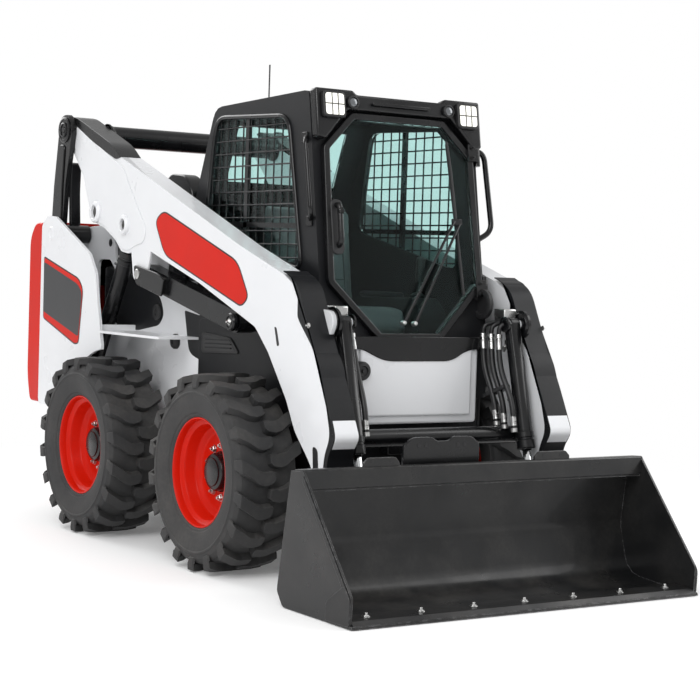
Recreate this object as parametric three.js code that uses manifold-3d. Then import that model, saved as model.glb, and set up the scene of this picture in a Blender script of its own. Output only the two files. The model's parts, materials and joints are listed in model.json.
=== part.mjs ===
// Skid steer loader with two lift arms, a quick coupler and a bucket.
// Millimetres, +X forward, +Y to the machine's left, +Z up. While the pieces are laid out, x = 0 is
// the front axle and z = 0 is the ground; the whole group is then moved so that its origin lies on
// the ground below the middle of its box.
import * as THREE from "three";
import { mergeVertices } from "three/addons/utils/BufferGeometryUtils.js";
import Module from "manifold-3d";

const wasm = await Module();
wasm.setup();

// ---------- driving dimensions ----------
const FIT = 0.3;              // gap between pieces that touch
const RUN = 6;                // running gap beside a moving piece
const PIN_FIT = 1;            // gap around a pin in its bush

const WHEELBASE = 1190;
const TYRE_RADIUS = 425;
const TYRE_WIDTH = 300;
const TYRE_SECTION = 188;     // tread to bead, measured along the radius
const TYRE_INNER_FACE = 518;  // distance of the tyre's inner side from the middle of the machine
const RIM_WALL = 12;
const RIM_WIDTH = 236;
const RIM_DISC_INSET = 62;    // wheel disc behind the rim's outer edge
const AXLE_RADIUS = 55;
const HUB_RADIUS = 84;

const FRAME_HALF_WIDTH = 440; // outer face of the body's inner plates
const FRAME_FRONT = 330;
const FRAME_REAR = -1982;
const FRAME_BOTTOM = 215;
const FRAME_TOP = 760;
const FRAME_WALL = 60;
const FLOOR_PLATE = 30;
const BODY_PLATE = 15;        // plates of the uprights
const UPRIGHT_OUTER = 665;    // outer face of the uprights
const UPRIGHT_TOP = 1535;
const TYRE_CLEARANCE = 34;    // arch above the rear tyres
const SHELF_HEIGHT = 960;     // shelf over the rear tyres
const SHELF_FRONT = -640;

const TAIL_REAR = -2150;
const TAIL_HALF_WIDTH = 610;
const TAIL_BOTTOM = 560;
const TAIL_TOP = 1505;
const TAIL_WALL = 14;
const TAIL_HINGE = [-1998, 626];
const TAIL_KNUCKLES = [720, 1330];
const KNUCKLE_HEIGHT = 36;
const KNUCKLE_RADIUS = 12;
const KNUCKLE_PIN = 6;
const HOOD_TOP = 1450;
const HOOD_FRONT = -815;
const HOOD_PLATE = 16;

const CAB_HALF_WIDTH = 432;
const CAB_WALL = 25;
const CAB_FRONT_BOTTOM = 395;
const CAB_FRONT_TOP = 222;
const CAB_FRONT_SILL = 975;   // height where the sloped front begins
const CAB_ROOF = 2062;
const CAB_REAR_TOP = -585;
const CAB_REAR = -800;
const CAB_REAR_KNEE = 1500;
const GLASS = 6;
const DOOR_THICKNESS = 34;
const DOOR_HALF_WIDTH = CAB_HALF_WIDTH - 27;
const DOOR_RIM = 30;
const DOOR_LOW = 35;          // door's lower edge above the sill, along the slope
const DOOR_HIGH = 1010;       // door's upper edge above the sill, along the slope
const DOOR_CORNER = 150;      // cut of the upper corners
const DOOR_LOWER_CORNER = 240;
const SEAT_HALF_WIDTH = 235;
const ANTENNA_TOP = 2220;

const ARM_INNER = 495;        // inner face of the lift arms
const ARM_OUTER = 605;
const ARM_PLATE = 11;         // side plates where the arm is open for the lift cylinder
const LINK_PLATE = 26;        // plates of the rear links
const LINK_SLEEVE_INNER = FRAME_HALF_WIDTH + BODY_PLATE + 7;
const CONTROL_DEPTH = 94;
const CROSS_TUBE_RADIUS = 53;
const FRONT_TUBE_RADIUS = 38;
const PIN_RADIUS = 22;

const LIFT_BARREL_RADIUS = 38;
const LIFT_ROD_RADIUS = 21;
const LIFT_STROKE = 600;
const TILT_Y = 440;           // tilt cylinders' distance from the middle of the machine
const TILT_BARREL_RADIUS = 35;
const TILT_ROD_RADIUS = 19;
const TILT_EYE_WIDTH = 42;
const TILT_CURL_STROKE = 50;  // how far the tilt rods still go in as the bucket curls back
const EAR_PLATE = 24;

const BUCKET_HALF_WIDTH = 863.5;
const BUCKET_FRONT = 1325;
const BUCKET_HEEL = 792;
const BUCKET_HEIGHT = 535;
const BUCKET_LEAN = 80;       // how far the back plate leans forward over its height
const BUCKET_WALL = 10;
const BUCKET_GROUND = 3;      // cutting edge above the ground
const LIP_HEIGHT = 74;

// pivots in the side view [x, z]
const PIVOT_LINK_BASE = [-1865, 1445];
const PIVOT_LINK_ARM = [-1786, 1972];
const PIVOT_CONTROL_FRAME = [-70, 1065];
const PIVOT_CONTROL_ARM = [-965, 1255];
const PIVOT_LIFT_BASE = [-1560, 775];
const PIVOT_LIFT_ARM = [-1130, 1475];
const PIVOT_TILT_ARM = [556, 1092];
const PIVOT_TILT_COUPLER = [738, 352];
const PIVOT_COUPLER = [700, 205];
const REAR_TUBE = [-1600, 1940];
const FRONT_TUBE = [578, 615];

// ---------- materials ----------
const paint = (color, roughness = 0.35, metalness = 0.1) =>
  new THREE.MeshStandardMaterial({ color, roughness, metalness });
const WHITE = paint(0xe9eaec);
const RED = paint(0xd8341c);
const CHARCOAL = paint(0x34373a, 0.45);
const BLACK = paint(0x17191b, 0.3);
const GRAPHITE = paint(0x4a4d50, 0.5, 0.3);
const CHROME = paint(0xd5d8da, 0.12, 1);
const CAST_IRON = paint(0x3a3a38, 0.7, 0.6);
const RUBBER = paint(0x3d3d3c, 0.85, 0);
const VINYL = paint(0x3c4446, 0.6, 0);
const PLASTIC = paint(0x2b2e31, 0.6, 0);
const GLASS_TINT = new THREE.MeshStandardMaterial({
  color: 0x9cc4c0, roughness: 0.05, metalness: 0, transparent: true, opacity: 0.5,
});

const machine = new THREE.Group();

// ---------- making solids ----------
// Triangles whose three corners differ: those at a lathe's axis fold flat and are left out.
function wholeTriangles(index) {
  const kept = [];
  for (let i = 0; i < index.length; i += 3) {
    const [a, b, c] = index.slice(i, i + 3);
    if (a !== b && b !== c && c !== a) {
      kept.push(a, b, c);
    }
  }
  return Uint32Array.from(kept);
}

function toSolid(geometry) {
  const bare = geometry.clone();
  bare.deleteAttribute("normal");
  bare.deleteAttribute("uv");
  const merged = mergeVertices(bare, 1e-4);
  return new wasm.Manifold(new wasm.Mesh({
    numProp: 3,
    vertProperties: Float32Array.from(merged.attributes.position.array),
    triVerts: wholeTriangles(merged.index.array),
  }));
}

function toGeometry(solid) {
  const mesh = solid.getMesh();
  const geometry = new THREE.BufferGeometry();
  const positions = new Float32Array(mesh.numVert * 3);
  for (let i = 0; i < mesh.numVert; i += 1) {
    for (let k = 0; k < 3; k += 1) {
      positions[3 * i + k] = mesh.vertProperties[i * mesh.numProp + k];
    }
  }
  geometry.setAttribute("position", new THREE.BufferAttribute(positions, 3));
  geometry.setIndex(new THREE.BufferAttribute(mesh.triVerts, 1));
  geometry.computeVertexNormals();
  return geometry;
}

function place(name, shape, material, parent = machine) {
  const geometry = shape.isBufferGeometry ? shape : toGeometry(shape);
  const mesh = new THREE.Mesh(geometry, material);
  mesh.name = name;
  parent.add(mesh);
  return mesh;
}

function join(...solids) {
  return solids.reduce((whole, piece) => whole.add(piece));
}

// An outline in the side view. A point is [x, z] or [x, z, r], where r rounds its corner.
function outline(points) {
  const shape = new THREE.Shape();
  const count = points.length;
  points.forEach(([x, z, radius = 0], i) => {
    const before = new THREE.Vector2(...points[(i + count - 1) % count].slice(0, 2));
    const here = new THREE.Vector2(x, z);
    const after = new THREE.Vector2(...points[(i + 1) % count].slice(0, 2));
    const toBefore = before.clone().sub(here).normalize();
    const toAfter = after.clone().sub(here).normalize();
    const half = Math.acos(THREE.MathUtils.clamp(toBefore.dot(toAfter), -1, 1)) / 2;
    const reach = Math.min(radius / Math.tan(half), here.distanceTo(before) / 2.05,
      here.distanceTo(after) / 2.05);
    const start = here.clone().addScaledVector(toBefore, reach);
    const end = here.clone().addScaledVector(toAfter, reach);
    if (i === 0) {
      shape.moveTo(start.x, start.y);
    } else {
      shape.lineTo(start.x, start.y);
    }
    if (radius > 0) {
      shape.quadraticCurveTo(here.x, here.y, end.x, end.y);
    }
  });
  shape.closePath();
  return shape;
}

// A side-view outline given thickness from y = yA to y = yB.
function slab(shape, yA, yB, segments = 3) {
  const geometry = new THREE.ExtrudeGeometry(shape, {
    depth: Math.abs(yB - yA), bevelEnabled: false, curveSegments: segments,
  });
  geometry.rotateX(Math.PI / 2);
  geometry.translate(0, Math.max(yA, yB), 0);
  return toSolid(geometry);
}

function block(xA, xB, yA, yB, zA, zB) {
  const geometry = new THREE.BoxGeometry(Math.abs(xB - xA), Math.abs(yB - yA), Math.abs(zB - zA));
  geometry.translate((xA + xB) / 2, (yA + yB) / 2, (zA + zB) / 2);
  return toSolid(geometry);
}

// A round pin, boss or tube lying across the machine.
function pin([x, z], radius, yA, yB, segments = 20) {
  const geometry = new THREE.CylinderGeometry(radius, radius, Math.abs(yB - yA), segments);
  geometry.translate(x, (yA + yB) / 2, z);
  return toSolid(geometry);
}

// A round bar between two points of the side view, at a distance y from the middle.
function bar(from, to, radius, y, segments = 20) {
  const start = new THREE.Vector3(from[0], y, from[1]);
  const end = new THREE.Vector3(to[0], y, to[1]);
  const axis = end.clone().sub(start);
  const geometry = new THREE.CylinderGeometry(radius, radius, axis.length(), segments);
  const turn = new THREE.Quaternion().setFromUnitVectors(
    new THREE.Vector3(0, 1, 0), axis.clone().normalize());
  geometry.applyQuaternion(turn);
  geometry.translate(...start.add(end).multiplyScalar(0.5).toArray());
  return toSolid(geometry);
}

// The point a given distance from one pivot towards another.
function along(from, to, distance) {
  const length = Math.hypot(to[0] - from[0], to[1] - from[1]);
  return [0, 1].map((k) => from[k] + (to[k] - from[k]) * distance / length);
}

const SIDES = [["left", 1], ["right", -1]];

// A convex side-view polygon moved inwards by a distance, with its corner radii kept.
function inset(points, distance) {
  const area = points.reduce((sum, [x, z], i) => {
    const [nextX, nextZ] = points[(i + 1) % points.length];
    return sum + x * nextZ - nextX * z;
  }, 0);
  const turn = Math.sign(area);
  const edges = points.map(([x, z], i) => {
    const [nextX, nextZ] = points[(i + 1) % points.length];
    const length = Math.hypot(nextX - x, nextZ - z);
    const direction = [(nextX - x) / length, (nextZ - z) / length];
    const inward = [-direction[1] * turn, direction[0] * turn];
    return { at: [x + inward[0] * distance, z + inward[1] * distance], direction };
  });
  return points.map(([, , radius = 0], i) => {
    const a = edges[(i + edges.length - 1) % edges.length];
    const b = edges[i];
    const cross = a.direction[0] * b.direction[1] - a.direction[1] * b.direction[0];
    const reach = ((b.at[0] - a.at[0]) * b.direction[1]
      - (b.at[1] - a.at[1]) * b.direction[0]) / cross;
    return [a.at[0] + a.direction[0] * reach, a.at[1] + a.direction[1] * reach,
      Math.max(radius - distance, 0)];
  });
}

// ---------- lower frame, axles and engine ----------
const FRONT_AXLE = [0, TYRE_RADIUS];
const REAR_AXLE = [-WHEELBASE, TYRE_RADIUS];
const AXLES = [["front", FRONT_AXLE], ["rear", REAR_AXLE]];
const AXLE_END = TYRE_INNER_FACE + 82;
const frameSide = FRAME_HALF_WIDTH - FIT;
const floorTop = FRAME_BOTTOM + FLOOR_PLATE;

const engineBay = block(FRAME_REAR - 10, FRAME_FRONT - FRAME_WALL, FRAME_WALL - frameSide,
  frameSide - FRAME_WALL, floorTop, FRAME_TOP + 10);
const tub = block(FRAME_REAR, FRAME_FRONT, -frameSide, frameSide, FRAME_BOTTOM, FRAME_TOP);
const axleHoles = AXLES.map(([, centre]) => pin(centre, AXLE_RADIUS + FIT, -500, 500));
place("lower_frame", tub.subtract(engineBay).subtract(join(...axleHoles)), CHARCOAL);

for (const [end, centre] of AXLES) {
  const flanges = SIDES.map(([, side]) => pin(centre, HUB_RADIUS,
    side * (FRAME_HALF_WIDTH + FIT), side * (FRAME_HALF_WIDTH + 32)));
  place(`${end}_axle`, join(pin(centre, AXLE_RADIUS, -AXLE_END, AXLE_END), ...flanges), CAST_IRON);
}

const ENGINE_FRONT = REAR_AXLE[0] - AXLE_RADIUS - 15;
place("engine_block", block(-1900, ENGINE_FRONT, -300, 300, floorTop + FIT, 1000), CAST_IRON);
place("rear_bumper", slab(outline([[FRAME_REAR - FIT, 330], [FRAME_REAR - FIT, 520],
  [-2105, 520, 20], [-2105, 350, 30], [-2060, 330, 20]]), -560, 560), CHARCOAL);

// ---------- uprights, side covers, hood and air cleaner ----------
const uprightInner = FRAME_HALF_WIDTH;
const uprightOuter = UPRIGHT_OUTER;
const archRadius = TYRE_RADIUS + TYRE_CLEARANCE;

// An upright round bar about the tailgate's hinge line.
function hingeBar(radius, low, high) {
  const geometry = new THREE.CylinderGeometry(radius, radius, high - low, 16);
  geometry.rotateX(Math.PI / 2);
  geometry.translate(TAIL_HINGE[0], TAIL_HINGE[1], (low + high) / 2);
  return toSolid(geometry);
}

// The left upright's half of each tailgate hinge: a knuckle with a pin standing in it.
const hingeFoot = TAIL_KNUCKLES.flatMap((low) => [
  hingeBar(KNUCKLE_RADIUS, low, low + KNUCKLE_HEIGHT),
  hingeBar(KNUCKLE_PIN, low + 4, low + 2 * KNUCKLE_HEIGHT),
  block(TAIL_HINGE[0], FRAME_REAR + 4, TAIL_HINGE[1], TAIL_HINGE[1] + KNUCKLE_RADIUS,
    low, low + KNUCKLE_HEIGHT),
]);

// The rear tyre's arch is cut from the outer plate.
function uprightSolid(side) {
  const outerPlate = slab(outline([
    [FRAME_REAR, 560, 30], [FRAME_REAR, 1490, 40], [-1910, UPRIGHT_TOP, 40],
    [-1815, UPRIGHT_TOP - 5, 50], [-1400, 1345, 90], [-1325, 1250, 60], [-1297, 1120, 60],
    [-1240, 905, 30], [-1240, 560],
  ]), side * (uprightOuter - BODY_PLATE), side * uprightOuter)
    .subtract(pin(REAR_AXLE, archRadius, side * 600, side * 700, 48));
  const innerPlate = slab(outline([
    [FRAME_REAR, 560], [FRAME_REAR, 1480, 30], [-1560, 1500, 60], [-1530, 1250, 80],
    [SHELF_FRONT - 60, 1230, 30], [SHELF_FRONT, 1150, 30], [SHELF_FRONT, 600], [-1500, 560],
  ]), side * uprightInner, side * (uprightInner + BODY_PLATE))
    .subtract(slab(outline([[-1740, 1000, 40], [-1740, 1320, 40], [-1600, 1320, 40],
      [-1430, 1180, 40], [-1420, 1000, 40]]), side * 400, side * 480));
  const rearWall = block(FRAME_REAR, FRAME_REAR + BODY_PLATE, side * uprightInner,
    side * uprightOuter, 600, 1460);
  const shelf = block(-1300, SHELF_FRONT, side * uprightInner, side * (uprightOuter - FIT),
    SHELF_HEIGHT, SHELF_HEIGHT + 12);
  const shelfRib = block(-1310, -1288, side * uprightInner, side * uprightOuter,
    SHELF_HEIGHT, SHELF_HEIGHT + 40);
  const pins = [PIVOT_LINK_BASE, PIVOT_LIFT_BASE].map((pivot) => pin(pivot, PIN_RADIUS,
    side * (uprightInner + 2), side * (uprightOuter - 2)));
  const bossLift = pin(PIVOT_LIFT_BASE, PIN_RADIUS + 20, side * (uprightOuter - BODY_PLATE),
    side * uprightOuter);
  const tyreRoom = pin(REAR_AXLE, TYRE_RADIUS + 10, side * 500, side * 700, 48);
  return join(outerPlate, innerPlate, rearWall, shelf, shelfRib, bossLift)
    .subtract(tyreRoom).add(join(...pins));
}

// The lower cover beside the cab carries the front pivot of the control link.
function sideCoverSolid(side) {
  const [pivotX, pivotZ] = PIVOT_CONTROL_FRAME;
  const inner = side * (FRAME_HALF_WIDTH + FIT);
  const outer = side * (FRAME_HALF_WIDTH + FIT + 16);
  const plate = slab(outline([
    [SHELF_FRONT + 4, 620, 20], [SHELF_FRONT + 4, 1060, 30], [pivotX - 110, 1070, 40],
    [pivotX - 50, pivotZ + 60, 30], [pivotX + 50, pivotZ + 60, 30], [pivotX + 110, 1010, 40],
    [FRAME_FRONT, 955, 40], [FRAME_FRONT, 620, 20],
  ]), inner, outer);
  const spacer = pin(PIVOT_CONTROL_FRAME, CONTROL_DEPTH / 2 - 6, inner, side * (ARM_INNER + 10));
  const spindle = pin(PIVOT_CONTROL_FRAME, PIN_RADIUS, inner, side * (ARM_OUTER + 4));
  const cap = pin(PIVOT_CONTROL_FRAME, 38, side * (ARM_OUTER - 8), side * (ARM_OUTER + 6));
  const axleRoom = pin(FRONT_AXLE, HUB_RADIUS + 10, side * 400, side * 500);
  return join(plate, spacer, spindle, cap).subtract(axleRoom);
}

for (const [hand, side] of SIDES) {
  const upright = uprightSolid(side);
  place(`${hand}_upright`, side > 0 ? join(upright, ...hingeFoot) : upright, WHITE);
  place(`${hand}_side_cover`, sideCoverSolid(side), CHARCOAL);
}

const hoodOutline = [[FRAME_REAR + 4, 1180], [FRAME_REAR + 4, HOOD_TOP - 20, 30],
  [-1900, HOOD_TOP, 30], [HOOD_FRONT, HOOD_TOP, 20], [HOOD_FRONT, 1180]];
const hoodInside = [[FRAME_REAR + 4 + HOOD_PLATE, 1170],
  [FRAME_REAR + 4 + HOOD_PLATE, HOOD_TOP - 34, 20], [-1898, HOOD_TOP - HOOD_PLATE, 20],
  [HOOD_FRONT - HOOD_PLATE, HOOD_TOP - HOOD_PLATE, 10], [HOOD_FRONT - HOOD_PLATE, 1170]];
const hoodSide = FRAME_HALF_WIDTH - FIT;
place("engine_hood", slab(outline(hoodOutline), -hoodSide, hoodSide)
  .subtract(slab(outline(hoodInside), HOOD_PLATE - hoodSide, hoodSide - HOOD_PLATE))
  .subtract(slab(outline([[-1800, 1170], [-1800, 1330, 30], [-1400, 1330, 30], [-1400, 1170]]),
    -500, 500)), CHARCOAL);

const CLEANER = { x: -1690, y: -366, radius: 66, pipe: 28 };
const cleanerProfile = [[0, FRAME_TOP + FIT], [CLEANER.radius, FRAME_TOP + FIT],
  [CLEANER.radius, 1275], [CLEANER.radius - 10, 1288], [CLEANER.pipe, 1288],
  [CLEANER.pipe, HOOD_TOP - HOOD_PLATE - FIT], [0, HOOD_TOP - HOOD_PLATE - FIT]];

// A round solid from a profile of [radius, height] points that starts and ends on its axis
// or closes on itself.
function turned(profile, segments) {
  return new THREE.LatheGeometry(profile.map(([r, h]) => new THREE.Vector2(r, h)), segments);
}

const cleaner = turned(cleanerProfile, 28);
cleaner.rotateX(Math.PI / 2);
cleaner.translate(CLEANER.x, CLEANER.y, 0);
place("air_cleaner", toSolid(cleaner), BLACK);

// ---------- tailgate, on a hinge at its left edge ----------
const tailOutline = [[FRAME_REAR - RUN, TAIL_BOTTOM], [TAIL_REAR + 40, TAIL_BOTTOM, 30],
  [TAIL_REAR, TAIL_BOTTOM + 140, 60], [TAIL_REAR, TAIL_TOP - 80, 70],
  [TAIL_REAR + 70, TAIL_TOP, 60], [FRAME_REAR - RUN, TAIL_TOP]];
const tailInside = [[FRAME_REAR, TAIL_BOTTOM + TAIL_WALL],
  [TAIL_REAR + 46, TAIL_BOTTOM + TAIL_WALL, 20],
  [TAIL_REAR + TAIL_WALL, TAIL_BOTTOM + 146, 50], [TAIL_REAR + TAIL_WALL, TAIL_TOP - 86, 60],
  [TAIL_REAR + 76, TAIL_TOP - TAIL_WALL, 50], [FRAME_REAR, TAIL_TOP - TAIL_WALL]];
const hingeEyes = TAIL_KNUCKLES.flatMap((low) => {
  const eye = [low + KNUCKLE_HEIGHT + FIT, low + 2 * KNUCKLE_HEIGHT];
  const leaf = block(TAIL_HINGE[0] - KNUCKLE_RADIUS, TAIL_HINGE[0], TAIL_HALF_WIDTH - TAIL_WALL / 2,
    TAIL_HINGE[1], ...eye);
  return [hingeBar(KNUCKLE_RADIUS, ...eye), leaf];
});
const hingeHoles = TAIL_KNUCKLES.map((low) => hingeBar(KNUCKLE_PIN + 0.5, low,
  low + 3 * KNUCKLE_HEIGHT));
place("tailgate", slab(outline(tailOutline), -TAIL_HALF_WIDTH, TAIL_HALF_WIDTH)
  .subtract(slab(outline(tailInside), TAIL_WALL - TAIL_HALF_WIDTH, TAIL_HALF_WIDTH - TAIL_WALL))
  .add(join(...hingeEyes)).subtract(join(...hingeHoles)), RED);

// ---------- cab ----------
const cabOutline = [
  [CAB_REAR, FRAME_TOP + FIT], [CAB_REAR, CAB_REAR_KNEE, 60], [CAB_REAR_TOP, CAB_ROOF - 30, 90],
  [CAB_FRONT_TOP, CAB_ROOF, 40], [CAB_FRONT_BOTTOM, CAB_FRONT_SILL],
  [CAB_FRONT_BOTTOM, FRAME_TOP + FIT],
];
const slope = Math.atan2(CAB_FRONT_BOTTOM - CAB_FRONT_TOP, CAB_ROOF - CAB_FRONT_SILL);
const frontPlane = new THREE.Matrix4().makeBasis(
  new THREE.Vector3(0, 1, 0),
  new THREE.Vector3(-Math.sin(slope), 0, Math.cos(slope)),
  new THREE.Vector3(Math.cos(slope), 0, Math.sin(slope)),
).setPosition(CAB_FRONT_BOTTOM, 0, CAB_FRONT_SILL);

// A shape drawn on the sloped cab front, across and up from the sill, given thickness along
// the outward normal.
function frontSlab(points, from, to, segments = 3) {
  const geometry = new THREE.ExtrudeGeometry(outline(points), {
    depth: to - from, bevelEnabled: false, curveSegments: segments,
  });
  geometry.translate(0, 0, from);
  geometry.applyMatrix4(frontPlane);
  return toSolid(geometry);
}

const doorOutline = [
  [-DOOR_HALF_WIDTH + DOOR_LOWER_CORNER, DOOR_LOW, 40],
  [DOOR_HALF_WIDTH - DOOR_LOWER_CORNER, DOOR_LOW, 40],
  [DOOR_HALF_WIDTH, DOOR_LOW + DOOR_LOWER_CORNER, 50],
  [DOOR_HALF_WIDTH - 12, DOOR_HIGH - DOOR_CORNER, 50],
  [DOOR_HALF_WIDTH - 12 - DOOR_CORNER, DOOR_HIGH, 40],
  [-DOOR_HALF_WIDTH + 12 + DOOR_CORNER, DOOR_HIGH, 40],
  [-DOOR_HALF_WIDTH + 12, DOOR_HIGH - DOOR_CORNER, 50],
  [-DOOR_HALF_WIDTH, DOOR_LOW + DOOR_LOWER_CORNER, 50],
];
const doorway = inset(doorOutline, DOOR_RIM - 4);
const sideWindow = [[-556, 1972, 70], [60, 1950, 70], [196, 1312, 60], [-640, 1496, 70]];
const rearWindow = { halfWidth: 300, bottom: 1560, top: 1960, x: -900 };

const shell = slab(outline(cabOutline), -CAB_HALF_WIDTH, CAB_HALF_WIDTH)
  .subtract(slab(outline(inset(cabOutline, CAB_WALL)), CAB_WALL - CAB_HALF_WIDTH,
    CAB_HALF_WIDTH - CAB_WALL))
  .subtract(slab(outline(sideWindow), -CAB_HALF_WIDTH - 10, CAB_HALF_WIDTH + 10))
  .subtract(block(rearWindow.x, -500, -rearWindow.halfWidth, rearWindow.halfWidth,
    rearWindow.bottom, rearWindow.top))
  .subtract(frontSlab(doorway, -60, 30));

const VISOR_LOW = DOOR_HIGH - DOOR_CORNER + 34;
const visorOutline = [[-CAB_HALF_WIDTH, VISOR_LOW], [-CAB_HALF_WIDTH + 40, VISOR_LOW - 10],
  [-CAB_HALF_WIDTH + 12 + DOOR_CORNER, DOOR_HIGH + 8],
  [CAB_HALF_WIDTH - 12 - DOOR_CORNER, DOOR_HIGH + 8],
  [CAB_HALF_WIDTH - 40, VISOR_LOW - 10], [CAB_HALF_WIDTH, VISOR_LOW],
  [CAB_HALF_WIDTH, DOOR_HIGH + 92], [CAB_HALF_WIDTH - 190, DOOR_HIGH + 92],
  [CAB_HALF_WIDTH - 210, DOOR_HIGH + 74], [-CAB_HALF_WIDTH + 210, DOOR_HIGH + 74],
  [-CAB_HALF_WIDTH + 190, DOOR_HIGH + 92], [-CAB_HALF_WIDTH, DOOR_HIGH + 92]];
place("cab_shell", shell.subtract(frontSlab([[-500, DOOR_HIGH + 60], [500, DOOR_HIGH + 60],
  [500, DOOR_HIGH + 200], [-500, DOOR_HIGH + 200]], 0, 60)), CHARCOAL);
place("roof_visor", frontSlab(visorOutline, FIT, 52), BLACK);

for (const [hand, side] of SIDES) {
  place(`${hand}_side_window`, slab(outline(inset(sideWindow, FIT)),
    side * (CAB_HALF_WIDTH - 10), side * (CAB_HALF_WIDTH - 10 - GLASS)), GLASS_TINT);
}

const rearLean = (CAB_REAR_TOP - CAB_REAR) / (CAB_ROOF - 30 - CAB_REAR_KNEE);
const rearFace = (z) => CAB_REAR + (z - CAB_REAR_KNEE) * rearLean;
const rearPane = (z, depth) => [rearFace(z) + depth, z];
place("rear_window", slab(outline([
  rearPane(rearWindow.bottom + FIT, 8), rearPane(rearWindow.top - FIT, 8),
  rearPane(rearWindow.top - FIT, 8 + GLASS), rearPane(rearWindow.bottom + FIT, 8 + GLASS),
]), FIT - rearWindow.halfWidth, rearWindow.halfWidth - FIT), GLASS_TINT);

place("air_box", slab(outline([
  [-1015, HOOD_TOP + FIT], [-1015, 1640, 30], [-960, 1706, 30], rearPane(1706, -FIT),
  [CAB_REAR - FIT, CAB_REAR_KNEE], [CAB_REAR - FIT, HOOD_TOP + FIT],
]), -300, 300), PLASTIC);

place("front_panel", slab(outline([
  [CAB_FRONT_BOTTOM + FIT, 700], [CAB_FRONT_BOTTOM + 30, 715, 10],
  [CAB_FRONT_BOTTOM + 30, 940, 20], [CAB_FRONT_BOTTOM + FIT, CAB_FRONT_SILL - 6],
]), -290, 290), WHITE);

const antennaFoot = [-330, -300];
const roofAt = (x) => CAB_ROOF - 30 + 30 * (x - CAB_REAR_TOP) / (CAB_FRONT_TOP - CAB_REAR_TOP);
const antenna = turned([[0, roofAt(antennaFoot[0]) + 1.2], [14, roofAt(antennaFoot[0]) + 1.2],
  [10, roofAt(antennaFoot[0]) + 22], [3.5, roofAt(antennaFoot[0]) + 30],
  [3.5, ANTENNA_TOP], [0, ANTENNA_TOP]], 12);
antenna.rotateX(Math.PI / 2);
antenna.translate(antennaFoot[0], antennaFoot[1], 0);
place("antenna", toSolid(antenna), BLACK);

// ---------- seat and consoles ----------
const cabFloor = FRAME_TOP + FIT + CAB_WALL + FIT;
const SEAT_PAN = 1010;
const seatStep = CAB_HALF_WIDTH - CAB_WALL - 27;
const consoles = SIDES.map(([, side]) => slab(outline([
  [-430, cabFloor], [-430, 1180, 40], [60, 1190, 40], [140, 1120, 40], [60, cabFloor],
]), side * (SEAT_HALF_WIDTH + 14), side * (CAB_HALF_WIDTH - CAB_WALL - 12)));
place("seat_base", join(block(-430, 20, -200, 200, cabFloor, SEAT_PAN),
  block(-430, 60, -seatStep, seatStep, cabFloor, cabFloor + 50), ...consoles), PLASTIC);
place("seat_cushion", slab(outline([
  [-390, SEAT_PAN + FIT], [-390, 1120, 30], [60, 1146, 40], [84, 1040, 30], [40, SEAT_PAN + FIT],
]), -SEAT_HALF_WIDTH, SEAT_HALF_WIDTH), VINYL);
place("seat_back", slab(outline([
  [-390 - FIT, 1020], [-390 - FIT, 1122], [-330, 1128, 20], [-410, 1600, 60], [-510, 1620, 60],
  [-500, 1020, 40],
]), -SEAT_HALF_WIDTH + 10, SEAT_HALF_WIDTH - 10), VINYL);

// ---------- cab door, hinged along the left of the sloped front ----------
place("door_frame", frontSlab(doorOutline, FIT, DOOR_THICKNESS)
  .subtract(frontSlab(inset(doorOutline, DOOR_RIM), -10, DOOR_THICKNESS + 10)), BLACK);
place("door_glass", frontSlab(inset(doorOutline, DOOR_RIM + FIT), DOOR_THICKNESS - 16,
  DOOR_THICKNESS - 16 + GLASS), GLASS_TINT);

// ---------- rear links ----------
// A plate outside the arm, with a long sleeve on the pin in the upright.
const linkPlate = [ARM_OUTER + RUN + 1, ARM_OUTER + RUN + 1 + LINK_PLATE];
const linkOutline = [
  [PIVOT_LINK_ARM[0] - 60, PIVOT_LINK_ARM[1] + 66, 60],
  [PIVOT_LINK_ARM[0] + 40, PIVOT_LINK_ARM[1] + 84, 70],
  [PIVOT_LINK_ARM[0] + 88, PIVOT_LINK_ARM[1], 70],
  [-1766, 1700, 90], [PIVOT_LINK_BASE[0] + 70, PIVOT_LINK_BASE[1] - 10, 60],
  [PIVOT_LINK_BASE[0], PIVOT_LINK_BASE[1] - 66, 60],
  [PIVOT_LINK_BASE[0] - 62, PIVOT_LINK_BASE[1] + 20, 60], [-1906, 1690, 120],
];
for (const [hand, side] of SIDES) {
  const plate = slab(outline(linkOutline), side * linkPlate[0], side * linkPlate[1]);
  const sleeve = pin(PIVOT_LINK_BASE, PIN_RADIUS + 24, side * LINK_SLEEVE_INNER,
    side * linkPlate[1]);
  const bush = pin(PIVOT_LINK_BASE, PIN_RADIUS + PIN_FIT, side * 400, side * 700);
  place(`${hand}_rear_link`, join(plate, sleeve).subtract(bush), BLACK);
}

// ---------- control links ----------
const controlSpan = [ARM_INNER + ARM_PLATE + 3, ARM_OUTER - ARM_PLATE - 3];
for (const [hand, side] of SIDES) {
  const [near, far] = controlSpan.map((y) => side * y);
  const [fx, fz] = PIVOT_CONTROL_FRAME;
  const [ax, az] = PIVOT_CONTROL_ARM;
  const lean = Math.atan2(az - fz, ax - fx);
  const half = CONTROL_DEPTH / 2;
  const acrossX = -Math.sin(lean) * half;
  const acrossZ = Math.cos(lean) * half;
  const beam = slab(outline([[fx + acrossX, fz + acrossZ], [ax + acrossX, az + acrossZ],
    [ax - acrossX, az - acrossZ], [fx - acrossX, fz - acrossZ]]), near, far);
  const ends = [PIVOT_CONTROL_FRAME, PIVOT_CONTROL_ARM].map((pivot) => pin(pivot, half, near, far));
  const bushes = [PIVOT_CONTROL_FRAME, PIVOT_CONTROL_ARM].map((pivot) => pin(pivot,
    PIN_RADIUS + PIN_FIT, side * 400, side * 700));
  place(`${hand}_control_link`, join(beam, ...ends).subtract(join(...bushes)), BLACK);
}

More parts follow.
